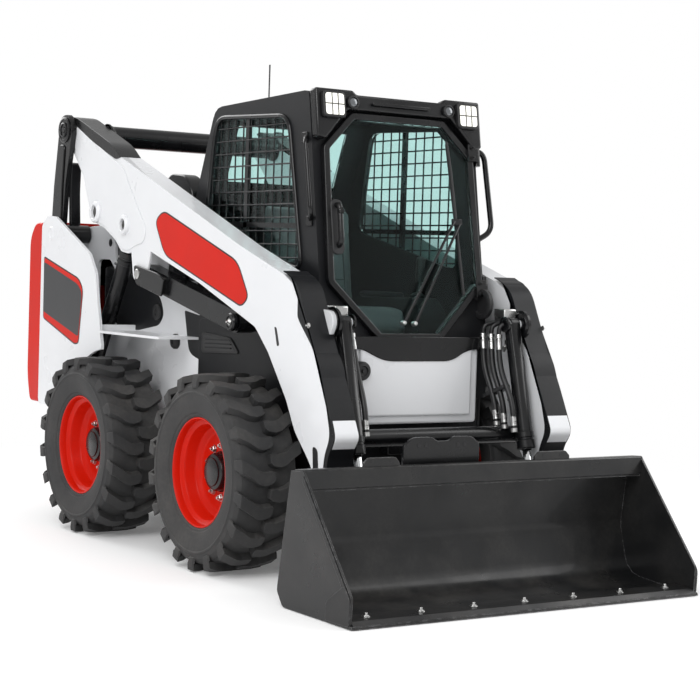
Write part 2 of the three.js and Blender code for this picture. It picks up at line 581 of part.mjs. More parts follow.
// ---------- lift arms and their cross tubes ----------
const armOutline = [
  [PIVOT_LINK_ARM[0] - 44, PIVOT_LINK_ARM[1] + 52, 60],
  [PIVOT_LINK_ARM[0] + 52, PIVOT_LINK_ARM[1] + 34, 50], [-894, 1707, 200], [-28, 1398, 200],
  [345, 1281, 130], [452, 1228, 90], [540, 1048, 80], [682, 846, 120], [786, 640, 40],
  [734, 570, 50], [722, 510, 80], [756, 340, 80], [764, 140, 70], [636, 140, 70],
  [612, 340, 120], [622, 495, 120], [470, 640, 120], [395, 764, 80], [238, 953, 120],
  [125, 1053, 80],
  [-376, 1226, 200], [-790, 1342, 120], [-926, 1383, 50], [-1010, 1378, 40],
  [-1090, 1350, 60], [-1170, 1360, 50], [-1239, 1415, 40], [-1365, 1473, 60],
  [-1481, 1503, 50], [-1544, 1574, 60], [-1624, 1735, 60], [-1740, 1850, 60],
  [PIVOT_LINK_ARM[0] - 66, PIVOT_LINK_ARM[1] - 30, 60],
];
// The room between the arm's side plates, where the lift cylinder swings.
const cylinderRoom = [
  [-1010, 1300], [-940, 1400, 40], [-930, 1600, 60], [-1010, 1724, 60], [-1500, 1892, 60],
  [-1640, 1900, 40], [-1700, 1800, 30], [-1780, 1740], [-1700, 1300],
];
const controlEar = [[-1070, 1400], [-1035, PIVOT_CONTROL_ARM[1] - 20, 40],
  [PIVOT_CONTROL_ARM[0], PIVOT_CONTROL_ARM[1] - 54, 40],
  [-895, PIVOT_CONTROL_ARM[1] - 20, 40], [-850, 1400]];
const tiltEar = [[PIVOT_TILT_ARM[0] - 150, PIVOT_TILT_ARM[1] + 60, 20],
  [PIVOT_TILT_ARM[0] + 20, PIVOT_TILT_ARM[1] + 46, 40],
  [PIVOT_TILT_ARM[0] + 42, PIVOT_TILT_ARM[1], 40],
  [PIVOT_TILT_ARM[0] + 20, PIVOT_TILT_ARM[1] - 44, 40],
  [PIVOT_TILT_ARM[0] - 60, PIVOT_TILT_ARM[1] - 120, 20]];
for (const [hand, side] of SIDES) {
  const inner = side * ARM_INNER;
  const outer = side * ARM_OUTER;
  const room = slab(outline(cylinderRoom), side * (ARM_INNER + ARM_PLATE),
    side * (ARM_OUTER - ARM_PLATE));
  const ears = [[inner, side * (ARM_INNER + ARM_PLATE)], [side * (ARM_OUTER - ARM_PLATE), outer]]
    .map(([a, b]) => slab(outline(controlEar), a, b));
  const controlPin = pin(PIVOT_CONTROL_ARM, PIN_RADIUS, inner, outer);
  const tiltPlate = slab(outline(tiltEar), side * (ARM_INNER - 8), side * (ARM_INNER + 20));
  const tiltPin = pin(PIVOT_TILT_ARM, PIN_RADIUS - 2, side * (TILT_Y - 36), side * (ARM_INNER + 10));
  const bush = pin(PIVOT_COUPLER, PIN_RADIUS + PIN_FIT, side * 400, side * 700);
  place(`${hand}_lift_arm`, slab(outline(armOutline), inner, outer).subtract(room)
    .add(join(...ears, controlPin, tiltPlate, tiltPin)).subtract(bush), WHITE);
}
const tubeEnd = ARM_INNER - FIT;
place("rear_cross_tube", pin(REAR_TUBE, CROSS_TUBE_RADIUS, -tubeEnd, tubeEnd, 32), BLACK);
place("front_cross_tube", pin(FRONT_TUBE, FRONT_TUBE_RADIUS, -tubeEnd, tubeEnd), BLACK);

// ---------- cylinders ----------
// A barrel with an eye at its base and a bore for its rod, and the rod with an eye at its far end.
function cylinderPair({ base, eye, y, barrel, rod, barrelLength, boreStart, rodStart, eyeWidth,
  eyeRadius, baseHole, eyePin }) {
  const length = Math.hypot(eye[0] - base[0], eye[1] - base[1]);
  const sleeve = bar(base, along(base, eye, barrelLength), barrel, y)
    .add(pin(base, eyeRadius, y - eyeWidth / 2, y + eyeWidth / 2))
    .subtract(pin(base, baseHole, y - 80, y + 80))
    .subtract(bar(along(base, eye, boreStart), along(base, eye, barrelLength + 5),
      rod + FIT, y));
  const ram = join(bar(along(base, eye, rodStart), along(base, eye, length), rod, y),
    pin(eye, eyeRadius, y - eyeWidth / 2, y + eyeWidth / 2),
    pin(eye, eyePin, y - eyeWidth / 2 - 1, y + eyeWidth / 2 + 1));
  return [sleeve, ram];
}

const liftLength = Math.hypot(PIVOT_LIFT_ARM[0] - PIVOT_LIFT_BASE[0],
  PIVOT_LIFT_ARM[1] - PIVOT_LIFT_BASE[1]);
for (const [hand, side] of SIDES) {
  const [barrel, rod] = cylinderPair({
    base: PIVOT_LIFT_BASE, eye: PIVOT_LIFT_ARM, y: side * (ARM_INNER + ARM_OUTER) / 2,
    barrel: LIFT_BARREL_RADIUS, rod: LIFT_ROD_RADIUS, barrelLength: liftLength - 126,
    boreStart: liftLength - 162 - LIFT_STROKE, rodStart: liftLength - 156 - LIFT_STROKE,
    eyeWidth: 72, eyeRadius: 36, baseHole: PIN_RADIUS + PIN_FIT, eyePin: PIN_RADIUS,
  });
  place(`${hand}_lift_barrel`, barrel, BLACK);
  place(`${hand}_lift_rod`, rod, CHROME);
}
const tiltLength = Math.hypot(PIVOT_TILT_COUPLER[0] - PIVOT_TILT_ARM[0],
  PIVOT_TILT_COUPLER[1] - PIVOT_TILT_ARM[1]);
for (const [hand, side] of SIDES) {
  const [barrel, rod] = cylinderPair({
    base: PIVOT_TILT_ARM, eye: PIVOT_TILT_COUPLER, y: side * TILT_Y,
    barrel: TILT_BARREL_RADIUS, rod: TILT_ROD_RADIUS, barrelLength: tiltLength - 216,
    boreStart: 56, rodStart: 64 + TILT_CURL_STROKE, eyeWidth: TILT_EYE_WIDTH, eyeRadius: 30,
    baseHole: PIN_RADIUS - 2 + PIN_FIT, eyePin: PIN_RADIUS - 3,
  });
  place(`${hand}_tilt_barrel`, barrel, BLACK);
  place(`${hand}_tilt_rod`, rod, CHROME);
}

// ---------- quick coupler and bucket ----------
const HEEL_HEIGHT = 60;
const backFace = (z) => BUCKET_HEEL
  + BUCKET_LEAN * (z - HEEL_HEIGHT) / (BUCKET_HEIGHT - HEEL_HEIGHT);
const COUPLER_PLATE = 22;
const COUPLER_LOW = 96;
const COUPLER_HIGH = 500;
const earOuter = [ARM_OUTER + RUN, ARM_OUTER + RUN + EAR_PLATE];
const earInner = [ARM_INNER - RUN - EAR_PLATE, ARM_INNER - RUN];
const earRod = [2 * TILT_Y - earInner[1], 2 * TILT_Y - earInner[0]];
const couplerFace = slab(outline([
  [backFace(COUPLER_LOW) - FIT, COUPLER_LOW], [backFace(COUPLER_HIGH) - FIT, COUPLER_HIGH],
  [backFace(COUPLER_HIGH) - COUPLER_PLATE, COUPLER_HIGH],
  [backFace(COUPLER_LOW) - COUPLER_PLATE, COUPLER_LOW],
]), -earOuter[1], earOuter[1]);
const insidePlate = (z) => [backFace(z) - COUPLER_PLATE / 2, z];
const [couplerX, couplerZ] = PIVOT_COUPLER;
const [tiltX, tiltZ] = PIVOT_TILT_COUPLER;
const longEar = [insidePlate(110), [couplerX + 10, couplerZ - 56, 40],
  [couplerX - 52, couplerZ - 40, 30], [couplerX - 52, couplerZ + 50, 30],
  [tiltX - 44, tiltZ - 20, 30], [tiltX - 40, tiltZ + 50, 40], insidePlate(486)];
const shortEar = [insidePlate(270), [tiltX - 30, tiltZ - 50, 30], [tiltX - 44, tiltZ, 30],
  [tiltX - 30, tiltZ + 50, 30], insidePlate(430)];
const couplerParts = SIDES.flatMap(([, side]) => [
  ...[earOuter, earInner].map(([near, far]) => slab(outline(longEar), side * near, side * far)),
  slab(outline(shortEar), side * earRod[0], side * earRod[1]),
  pin(PIVOT_COUPLER, PIN_RADIUS, side * (earInner[0] + 2), side * (earOuter[1] - 2)),
]);
place("quick_coupler", join(couplerFace, ...couplerParts), GRAPHITE);

const bucketBack = backFace(BUCKET_HEIGHT);
const bucketShell = slab(outline([
  [BUCKET_FRONT, BUCKET_GROUND], [BUCKET_HEEL + 46, BUCKET_GROUND, 30],
  [BUCKET_HEEL, HEEL_HEIGHT, 30], [bucketBack, BUCKET_HEIGHT],
  [bucketBack + 84, BUCKET_HEIGHT + 6], [bucketBack + 84, BUCKET_HEIGHT - LIP_HEIGHT],
  [bucketBack + 70, BUCKET_HEIGHT - LIP_HEIGHT], [bucketBack + 66, BUCKET_HEIGHT - BUCKET_WALL],
  [bucketBack + BUCKET_WALL, BUCKET_HEIGHT - BUCKET_WALL],
  [BUCKET_HEEL + 52, 240, 140], [BUCKET_HEEL + 110, BUCKET_GROUND + 30, 110],
  [BUCKET_HEEL + 300, BUCKET_GROUND + 14, 60], [BUCKET_FRONT - 6, BUCKET_GROUND + 12],
]), -BUCKET_HALF_WIDTH, BUCKET_HALF_WIDTH);
const bucketSides = SIDES.map(([, side]) => slab(outline([
  [BUCKET_FRONT - 20, BUCKET_GROUND], [BUCKET_HEEL + 46, BUCKET_GROUND, 30],
  [BUCKET_HEEL, HEEL_HEIGHT, 30], [bucketBack, BUCKET_HEIGHT],
  [bucketBack + 84, BUCKET_HEIGHT + 6, 10], [BUCKET_FRONT - 14, 118, 30],
]), side * (BUCKET_HALF_WIDTH - BUCKET_WALL), side * BUCKET_HALF_WIDTH));
place("bucket", join(bucketShell, ...bucketSides), GRAPHITE);

// ---------- wheels ----------
const tyreHalf = TYRE_WIDTH / 2;
const beadRadius = TYRE_RADIUS - TYRE_SECTION;
const rimRadius = beadRadius - FIT;
const tyreProfile = [[beadRadius, -tyreHalf + 32], [beadRadius + 62, -tyreHalf + 8],
  [beadRadius + 120, -tyreHalf], [TYRE_RADIUS - 26, -tyreHalf + 4],
  [TYRE_RADIUS, -tyreHalf + 20], [TYRE_RADIUS, tyreHalf - 20],
  [TYRE_RADIUS - 26, tyreHalf - 4], [beadRadius + 120, tyreHalf],
  [beadRadius + 62, tyreHalf - 8], [beadRadius, tyreHalf - 32],
  [beadRadius, -tyreHalf + 32]];
// Distances from the middle of the tyre, outwards positive.
const tyreMiddle = TYRE_INNER_FACE + tyreHalf;
const rimHalf = RIM_WIDTH / 2;
const discFace = rimHalf - RIM_DISC_INSET;
const hubBack = AXLE_END + FIT - tyreMiddle;
const rimProfile = [[0, hubBack], [HUB_RADIUS, hubBack], [HUB_RADIUS, discFace - RIM_WALL],
  [rimRadius - RIM_WALL, discFace - RIM_WALL], [rimRadius - RIM_WALL, -rimHalf],
  [rimRadius, -rimHalf], [rimRadius, rimHalf], [rimRadius - RIM_WALL, rimHalf],
  [rimRadius - RIM_WALL, discFace], [HUB_RADIUS, discFace], [HUB_RADIUS - 14, discFace + 26],
  [0, discFace + 26]];

// A turned wheel piece set on its axle with its outer side facing away from the machine.
function wheelPiece(profile, [x, z], side) {
  const geometry = turned(profile, 32);
  geometry.rotateZ(side > 0 ? 0 : Math.PI);
  geometry.translate(x, side * tyreMiddle, z);
  return toSolid(geometry);
}

for (const [end, centre] of AXLES) {
  for (const [hand, side] of SIDES) {
    place(`${end}_${hand}_tyre`, wheelPiece(tyreProfile, centre, side), RUBBER);
    place(`${end}_${hand}_rim`, wheelPiece(rimProfile, centre, side), RED);
  }
}

// ---------- origin on the ground, below the middle of the machine's box ----------
machine.position.x = -(BUCKET_FRONT + TAIL_REAR) / 2;

export default machine;
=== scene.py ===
import json
import math

import bmesh
import bpy
from mathutils import Matrix, Vector
from mathutils.bvhtree import BVHTree


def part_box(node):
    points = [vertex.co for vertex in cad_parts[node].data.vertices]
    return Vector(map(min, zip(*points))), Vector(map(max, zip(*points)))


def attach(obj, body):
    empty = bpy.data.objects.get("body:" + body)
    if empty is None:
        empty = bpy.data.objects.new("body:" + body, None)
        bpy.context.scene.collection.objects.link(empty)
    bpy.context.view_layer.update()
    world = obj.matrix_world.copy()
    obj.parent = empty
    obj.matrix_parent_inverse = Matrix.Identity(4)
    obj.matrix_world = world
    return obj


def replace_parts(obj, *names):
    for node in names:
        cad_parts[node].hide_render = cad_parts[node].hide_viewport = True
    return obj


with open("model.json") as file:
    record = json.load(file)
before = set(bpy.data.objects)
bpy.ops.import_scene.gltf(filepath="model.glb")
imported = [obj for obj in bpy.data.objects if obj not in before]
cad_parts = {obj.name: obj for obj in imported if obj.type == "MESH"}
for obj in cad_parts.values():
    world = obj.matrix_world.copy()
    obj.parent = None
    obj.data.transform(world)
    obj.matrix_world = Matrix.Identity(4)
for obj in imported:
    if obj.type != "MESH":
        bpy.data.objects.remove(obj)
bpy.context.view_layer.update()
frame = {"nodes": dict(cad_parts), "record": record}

# ---------- view ----------
# A long lens at chest height, ahead of the machine's right front corner and a little askew.
VIEW_FROM = Vector((7.0155, -4.410, 1.309))
VIEW_ALONG = Vector((-0.8327, 0.5518, -0.0454)).normalized()
VIEW_ROLL = math.radians(1.88)
UP = Vector((0, 0, 1))

lens = bpy.data.cameras.new("camera")
lens.lens = 91.1
lens.sensor_width = 36
view_right = VIEW_ALONG.cross(UP).normalized()
view_up = view_right.cross(VIEW_ALONG)
camera_x = view_right * math.cos(VIEW_ROLL) + view_up * math.sin(VIEW_ROLL)
camera_y = view_up * math.cos(VIEW_ROLL) - view_right * math.sin(VIEW_ROLL)
camera = bpy.data.objects.new("camera", lens)
camera.matrix_world = Matrix((camera_x, camera_y, -VIEW_ALONG)).transposed().to_4x4()
camera.location = VIEW_FROM
bpy.context.scene.collection.objects.link(camera)
bpy.context.scene.camera = camera
bpy.context.scene.view_settings.view_transform = "Standard"

# ---------- floor and light ----------
# A pale studio: a broad white sky, a large soft lamp high on each side and a white floor that
# still takes the machine's shadow.
SKY_LEVEL = 0.62
LAMPS = [("key_lamp", (5.5, -6.5, 6.5), 6.0, 520), ("left_lamp", (3.0, 7.0, 5.0), 6.0, 300),
         ("rear_lamp", (-7.5, -1.5, 6.0), 6.0, 380)]


def linked(tree, kind, inputs=None, **settings):
    """One shader node, with its inputs given as values or as sockets to join."""
    node = tree.nodes.new("ShaderNode" + kind)
    for key, value in settings.items():
        setattr(node, key, value)
    for key, value in (inputs or {}).items():
        if isinstance(value, bpy.types.NodeSocket):
            tree.links.new(value, node.inputs[key])
        else:
            node.inputs[key].default_value = value
    return node


sky = bpy.data.worlds.new("studio_sky")
sky.use_nodes = True
sky.node_tree.nodes.clear()
ray = linked(sky.node_tree, "LightPath")
seen = linked(sky.node_tree, "Math",
              {0: ray.outputs["Is Camera Ray"], 1: ray.outputs["Is Transmission Ray"]},
              operation="MAXIMUM")
level = linked(sky.node_tree, "MapRange",
               {"Value": seen.outputs[0], "To Min": SKY_LEVEL, "To Max": 1.0})
glow = linked(sky.node_tree, "Background",
              {"Color": (1, 1, 1, 1), "Strength": level.outputs["Result"]})
linked(sky.node_tree, "OutputWorld", {"Surface": glow.outputs[0]})
bpy.context.scene.world = sky

for name, place, size, power in LAMPS:
    lamp = bpy.data.lights.new(name, "AREA")
    lamp.size = size
    lamp.energy = power
    stand = bpy.data.objects.new(name, lamp)
    stand.location = place
    stand.rotation_euler = (Vector((0, 0, 0.8)) - Vector(place)).to_track_quat("-Z", "Y").to_euler()
    bpy.context.scene.collection.objects.link(stand)

floor_mesh = bpy.data.meshes.new("floor")
floor_mesh.from_pydata([(-60, -60, 0), (60, -60, 0), (60, 60, 0), (-60, 60, 0)], [], [(0, 1, 2, 3)])
floor = bpy.data.objects.new("floor", floor_mesh)
bpy.context.scene.collection.objects.link(floor)
floor_white = bpy.data.materials.new("floor_white")
floor_white.use_nodes = True
tree = floor_white.node_tree
tree.nodes.clear()
matt = linked(tree, "BsdfDiffuse", {"Color": (0.9, 0.9, 0.9, 1)})
lift = linked(tree, "Emission", {"Strength": 0.12})
both = linked(tree, "AddShader", {0: matt.outputs[0], 1: lift.outputs[0]})
far_white = linked(tree, "Emission", {"Strength": 1.0})
spot = linked(tree, "TexCoord").outputs["Object"]
away = linked(tree, "VectorMath", {0: spot}, operation="LENGTH")
fade = linked(tree, "MapRange", {"Value": away.outputs["Value"], "From Min": 2.4, "From Max": 4.6},
              interpolation_type="SMOOTHSTEP")
glance = linked(tree, "LightPath")
seen = linked(tree, "Math", {0: fade.outputs[0], 1: glance.outputs["Is Camera Ray"]},
              operation="MULTIPLY")
surface = linked(tree, "MixShader",
                 {0: seen.outputs[0], 1: both.outputs[0], 2: far_white.outputs[0]})
linked(tree, "OutputMaterial", {"Surface": surface.outputs[0]})
floor_mesh.materials.append(floor_white)

# ---------- frame, bumper, engine and axles ----------
# A welded steel tub under the cab and engine, powder coated charcoal, with cast axle housings.
# Its plates get a rolled edge, as every plate of the machine does.
AXLE_X = sum(corner.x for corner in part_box("front_axle")) / 2
REAR_AXLE_X = sum(corner.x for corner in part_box("rear_axle")) / 2
AXLE_Z = sum(corner.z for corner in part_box("front_axle")) / 2
SIDES = (("left", 1), ("right", -1))


def at(x, y, z):
    """A place measured from below the middle of the front axle."""
    return Vector((AXLE_X + x, y, z))


def effect(name, inputs, outputs, build):
    """A shader node group with named sockets, filled in by build(tree, given, made)."""
    group = bpy.data.node_groups.new(name, "ShaderNodeTree")
    for label, kind, value in inputs:
        socket = group.interface.new_socket(label, in_out="INPUT", socket_type=kind)
        if value is not None:
            socket.default_value = value
    for label, kind in outputs:
        group.interface.new_socket(label, in_out="OUTPUT", socket_type=kind)
    given = group.nodes.new("NodeGroupInput").outputs
    made = group.nodes.new("NodeGroupOutput").inputs
    build(group, given, made)
    return group


FLOAT, COLOR = "NodeSocketFloat", "NodeSocketColor"


def combined(tree, operation, first, second):
    """The output of a Math node on two values."""
    return linked(tree, "Math", {0: first, 1: second}, operation=operation).outputs[0]


def fill_dust(tree, given, made):
    place = linked(tree, "TexCoord").outputs["Object"]
    cloud = linked(tree, "TexNoise",
                   {"Vector": place, "Scale": 3.0, "Detail": 6.0, "Roughness": 0.65})
    speck = linked(tree, "TexNoise", {"Vector": place, "Scale": 60.0, "Detail": 3.0})
    normal = linked(tree, "NewGeometry").outputs["Normal"]
    up = linked(tree, "SeparateXYZ", {0: normal}).outputs["Z"]
    lies = linked(tree, "MapRange",
                  {"Value": up, "From Min": -0.2, "From Max": 1.0, "To Min": 0.25, "To Max": 1.0})
    patch = linked(tree, "MapRange",
                   {"Value": cloud.outputs["Fac"], "From Min": 0.42, "From Max": 0.75})
    grit = linked(tree, "MapRange",
                  {"Value": speck.outputs["Fac"], "From Min": 0.35, "From Max": 0.7, "To Min": 0.5,
                   "To Max": 1.0})
    mask = lies.outputs[0]
    for part in (patch.outputs[0], grit.outputs[0], given["Amount"]):
        mask = combined(tree, "MULTIPLY", mask, part)
    mix = linked(tree, "Mix", {0: mask, 6: given["Color"], 7: given["Dust"]}, data_type="RGBA")
    tree.links.new(mix.outputs[2], made["Color"])
    tree.links.new(mask, made["Mask"])


dust = effect("settled_dust",
              [("Color", COLOR, None), ("Dust", COLOR, (0.42, 0.39, 0.35, 1)),
               ("Amount", FLOAT, 0.3)],
              [("Color", COLOR), ("Mask", FLOAT)], fill_dust)


def fill_wear(tree, given, made):
    flat = linked(tree, "NewGeometry").outputs["Normal"]
    soft = linked(tree, "Bevel", {"Radius": given["Width"]}, samples=4)
    same = linked(tree, "VectorMath", {0: flat, 1: soft.outputs[0]},
                  operation="DOT_PRODUCT").outputs["Value"]
    place = linked(tree, "TexCoord").outputs["Object"]
    chips = linked(tree, "TexNoise",
                   {"Vector": place, "Scale": 38.0, "Detail": 5.0, "Roughness": 0.7})
    edge = linked(tree, "MapRange", {"Value": same, "From Min": 0.995, "From Max": 0.8})
    broken = linked(tree, "MapRange",
                    {"Value": chips.outputs["Fac"], "From Min": 0.45, "From Max": 0.6})
    mask = edge.outputs[0]
    for part in (broken.outputs[0], given["Amount"]):
        mask = combined(tree, "MULTIPLY", mask, part)
    mix = linked(tree, "Mix", {0: mask, 6: given["Color"], 7: given["Bare"]}, data_type="RGBA")
    tree.links.new(mix.outputs[2], made["Color"])
    tree.links.new(mask, made["Mask"])


edge_wear = effect("edge_wear",
                   [("Color", COLOR, None), ("Bare", COLOR, (0.45, 0.45, 0.46, 1)),
                    ("Width", FLOAT, 0.004), ("Amount", FLOAT, 0.6)],
                   [("Color", COLOR), ("Mask", FLOAT)], fill_wear)


def fill_grain(tree, given, made):
    place = linked(tree, "TexCoord").outputs["Object"]
    fine = linked(tree, "TexNoise",
                  {"Vector": place, "Scale": given["Scale"], "Detail": 4.0, "Roughness": 0.6})
    broad = linked(tree, "TexNoise", {"Vector": place, "Scale": 5.0, "Detail": 3.0})
    low = combined(tree, "SUBTRACT", given["Roughness"], given["Spread"])
    high = combined(tree, "ADD", given["Roughness"], given["Spread"])
    rough = linked(tree, "MapRange",
                   {"Value": broad.outputs["Fac"], "From Min": 0.3, "From Max": 0.7, "To Min": low,
                    "To Max": high})
    tone = linked(tree, "MapRange",
                  {"Value": broad.outputs["Fac"], "From Min": 0.3, "From Max": 0.7,
                   "To Min": given["Shade"], "To Max": 1.0})
    colour = linked(tree, "VectorMath", {0: given["Color"], "Scale": tone.outputs[0]},
                    operation="SCALE")
    tree.links.new(fine.outputs["Fac"], made["Height"])
    tree.links.new(rough.outputs[0], made["Roughness"])
    tree.links.new(colour.outputs[0], made["Color"])


grain = effect("surface_grain",
               [("Color", COLOR, None), ("Scale", FLOAT, 300.0), ("Roughness", FLOAT, 0.4),
                ("Spread", FLOAT, 0.05), ("Shade", FLOAT, 0.94)],
               [("Color", COLOR), ("Roughness", FLOAT), ("Height", FLOAT)], fill_grain)


FINISH_SLOT = {}


def finish(name, slot_name, color, rough, metal=0.0, spread=0.05, shade=0.94, scale=300.0,
           bump=0.02, dirt=0.0, wear=0.0, coat=0.0, shine=0.5):
    """A solid finish: its own colour, varied a little, under grain, chipped edges and dust."""
    material = bpy.data.materials.new(name)
    FINISH_SLOT[material.name] = slot_name
    material.use_nodes = True
    tree = material.node_tree
    shader = tree.nodes["Principled BSDF"]
    skin = linked(tree, "Group", {"Color": (*color, 1), "Scale": scale, "Roughness": rough,
                                  "Spread": spread, "Shade": shade}, node_tree=grain)
    colour = skin.outputs["Color"]
    if wear:
        colour = linked(tree, "Group", {"Color": colour, "Amount": wear},
                        node_tree=edge_wear).outputs["Color"]
    if dirt:
        colour = linked(tree, "Group", {"Color": colour, "Amount": dirt},
                        node_tree=dust).outputs["Color"]
    tree.links.new(colour, shader.inputs["Base Color"])
    tree.links.new(skin.outputs["Roughness"], shader.inputs["Roughness"])
    relief = linked(tree, "Bump", {"Height": skin.outputs["Height"], "Strength": bump,
                                   "Distance": 0.002})
    tree.links.new(relief.outputs[0], shader.inputs["Normal"])
    shader.inputs["Metallic"].default_value = metal
    shader.inputs["Coat Weight"].default_value = coat
    shader.inputs["Specular IOR Level"].default_value = shine
    shader.inputs["Coat Roughness"].default_value = 0.06
    return material


charcoal_coat = finish("charcoal_coat", "charcoal_paint", (0.01, 0.0105, 0.012), 0.38, spread=0.06,
                       shade=0.85, bump=0.05, dirt=0.03, shine=0.2)
cast_metal = finish("cast_metal", "cast_metal", (0.06, 0.06, 0.058), 0.6, metal=0.5, scale=140,
                    bump=0.25, dirt=0.25)


def piece(name, mesh, body, material, slot_name=None):
    """A new object from a mesh, riding on a body, with its finish; the slot name is worked out but
    not kept.
    """
    made = bpy.data.objects.new(name, mesh)
    bpy.context.scene.collection.objects.link(made)
    mesh.materials.clear()
    mesh.materials.append(material)
    slot_name = slot_name or FINISH_SLOT[material.name]
    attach(made, body)
    return made


def soften(made, width, angle=32, segments=2):
    """Rolled edges and smooth shading between them."""
    if width:
        roll = made.modifiers.new("rolled_edge", "BEVEL")
        roll.width = width
        roll.segments = segments
        roll.limit_method = "ANGLE"
        roll.angle_limit = math.radians(angle)
    made.data.polygons.foreach_set("use_smooth", [True] * len(made.data.polygons))
    made.data.set_sharp_from_angle(angle=math.radians(angle))
    return made


NODE_BODY = {node: body for body, group in frame["record"]["behaviour"]["bodies"].items()
             for node in group}
NODE_SLOT = {entry["node"]: entry["material_slot"] for entry in frame["record"]["subparts"]}


def meshed(work, name):
    """The mesh of a finished bmesh."""
    mesh = bpy.data.meshes.new(name)
    work.to_mesh(mesh)
    work.free()
    return mesh


def dress(node, material, width=0.003, angle=32, segments=2):
    """The node's own plates with rolled edges, shown in the node's place."""
    plain = bmesh.new()
    plain.from_mesh(frame["nodes"][node].data)
    bmesh.ops.remove_doubles(plain, verts=plain.verts, dist=0.00005)
    bmesh.ops.dissolve_limit(plain, angle_limit=math.radians(0.6), verts=plain.verts,
                             edges=plain.edges)
    mesh = meshed(plain, node + "_plates")
    shown = piece(node + "_plates", mesh, NODE_BODY[node], material, NODE_SLOT[node])
    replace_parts(shown, node)
    return soften(shown, width, angle, segments)


for node in ("lower_frame", "rear_bumper"):
    dress(node, charcoal_coat, 0.004)
for node in ("front_axle", "rear_axle", "engine_block"):
    dress(node, cast_metal, 0.003)

# ---------- tyres ----------
# Heavy lugged rubber: long bent lugs reach in from both shoulders by turns, over a round carcass
# with ribs moulded around its sidewalls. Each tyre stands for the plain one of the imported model.
TYRE_RADIUS = AXLE_Z
TYRE_LOW, TYRE_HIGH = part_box("front_left_tyre")
TYRE_HALF = (TYRE_HIGH.y - TYRE_LOW.y) / 2
TYRE_MIDDLE = (TYRE_HIGH.y + TYRE_LOW.y) / 2
BEAD_RADIUS = 0.2372
LUGS = 18
LUG_DEPTH = 0.032
# Along a lug: distance in from the shoulder, how far around, half its width, radius of its top.
LUG_PATH = [(0.000, -0.010, 0.020, -0.062), (0.000, -0.004, 0.024, -0.030),
            (0.006, 0.000, 0.027, -0.007), (0.045, 0.022, 0.027, -0.002),
            (0.085, 0.050, 0.028, 0.000), (0.115, 0.058, 0.027, 0.000),
            (0.146, 0.052, 0.026, 0.000), (0.160, 0.048, 0.018, 0.000)]


def spun(name, profile, segments):
    """A mesh turned about its own Z from (radius, height) points."""
    work = bmesh.new()
    rings = []
    for radius, height in profile:
        if radius < 1e-6:
            rings.append([work.verts.new((0, 0, height))])
        else:
            rings.append([work.verts.new((radius * math.cos(2 * math.pi * k / segments),
                                          radius * math.sin(2 * math.pi * k / segments), height))
                          for k in range(segments)])
    for low, high in zip(rings, rings[1:]):
        for k in range(segments):
            after = (k + 1) % segments
            corners = [low[k % len(low)], low[after % len(low)],
                       high[after % len(high)], high[k % len(high)]]
            face = [corner for i, corner in enumerate(corners) if corner not in corners[:i]]
            if len(face) > 2:
                work.faces.new(face)
    bmesh.ops.recalc_face_normals(work, faces=work.faces)
    return meshed(work, name)


def aim(mesh, start, direction):
    """Moves a mesh so that its own Z points along a direction from a start point."""
    turn = Vector(direction).to_track_quat("Z", "Y").to_matrix().to_4x4()
    mesh.transform(Matrix.Translation(Vector(start)) @ turn)
    return mesh


def tyre_mesh(side, centre):
    """Carcass and lugs of one tyre, its outer face to the given side."""
    work = bmesh.new()
    half = TYRE_HALF
    ground = TYRE_RADIUS - LUG_DEPTH
    profile = [(BEAD_RADIUS, half - 0.030), (BEAD_RADIUS + 0.006, half - 0.024),
               (BEAD_RADIUS + 0.014, half - 0.023), (BEAD_RADIUS + 0.018, half - 0.018),
               (BEAD_RADIUS + 0.045, half - 0.010), (BEAD_RADIUS + 0.075, half - 0.004),
               (BEAD_RADIUS + 0.096, half - 0.003), (BEAD_RADIUS + 0.100, half),
               (BEAD_RADIUS + 0.106, half), (BEAD_RADIUS + 0.110, half - 0.004),
               (BEAD_RADIUS + 0.128, half - 0.008), (ground - 0.010, half - 0.022),
               (ground - 0.002, half - 0.045), (ground, half - 0.090), (ground, 0)]
    profile += [(radius, -along) for radius, along in reversed(profile[:-1])]
    count = 96
    rings = [[work.verts.new((radius * math.sin(2 * math.pi * k / count), along,
                              radius * math.cos(2 * math.pi * k / count))) for k in range(count)]
             for radius, along in profile]
    for low, high in zip(rings, rings[1:] + rings[:1]):
        for k in range(count):
            work.faces.new((low[k], low[(k + 1) % count], high[(k + 1) % count], high[k]))
    for hand in (1, -1):
        for lug in range(LUGS):
            turn = 2 * math.pi * (lug + (0.5 if hand < 0 else 0)) / LUGS
            stations = []
            for inward, around, width, drop in LUG_PATH:
                along = hand * (half - inward)
                top = TYRE_RADIUS + drop
                foot = min(top - 0.008, ground - 0.004)
                ring = []
                for radius, spread in ((foot, width + 0.006), (top, width),
                                       (top, -width), (foot, -width - 0.006)):
                    angle = turn + (around + spread) / TYRE_RADIUS
                    deep = hand * 0.010 if radius == foot and inward == 0 else 0
                    ring.append(work.verts.new((radius * math.sin(angle), along - deep,
                                                radius * math.cos(angle))))
                stations.append(ring)
            for near, far in zip(stations, stations[1:]):
                for k in range(4):
                    after = (k + 1) % 4
                    work.faces.new((near[k], near[after], far[after], far[k]))
            work.faces.new(stations[0])
            work.faces.new(list(reversed(stations[-1])))
    bmesh.ops.recalc_face_normals(work, faces=work.faces)
    mesh = meshed(work, "tyre")
    mesh.transform(Matrix.Translation(centre) @ Matrix.Scale(side, 4, (0, 1, 0)))
    if side < 0:
        mesh.flip_normals()
    return mesh


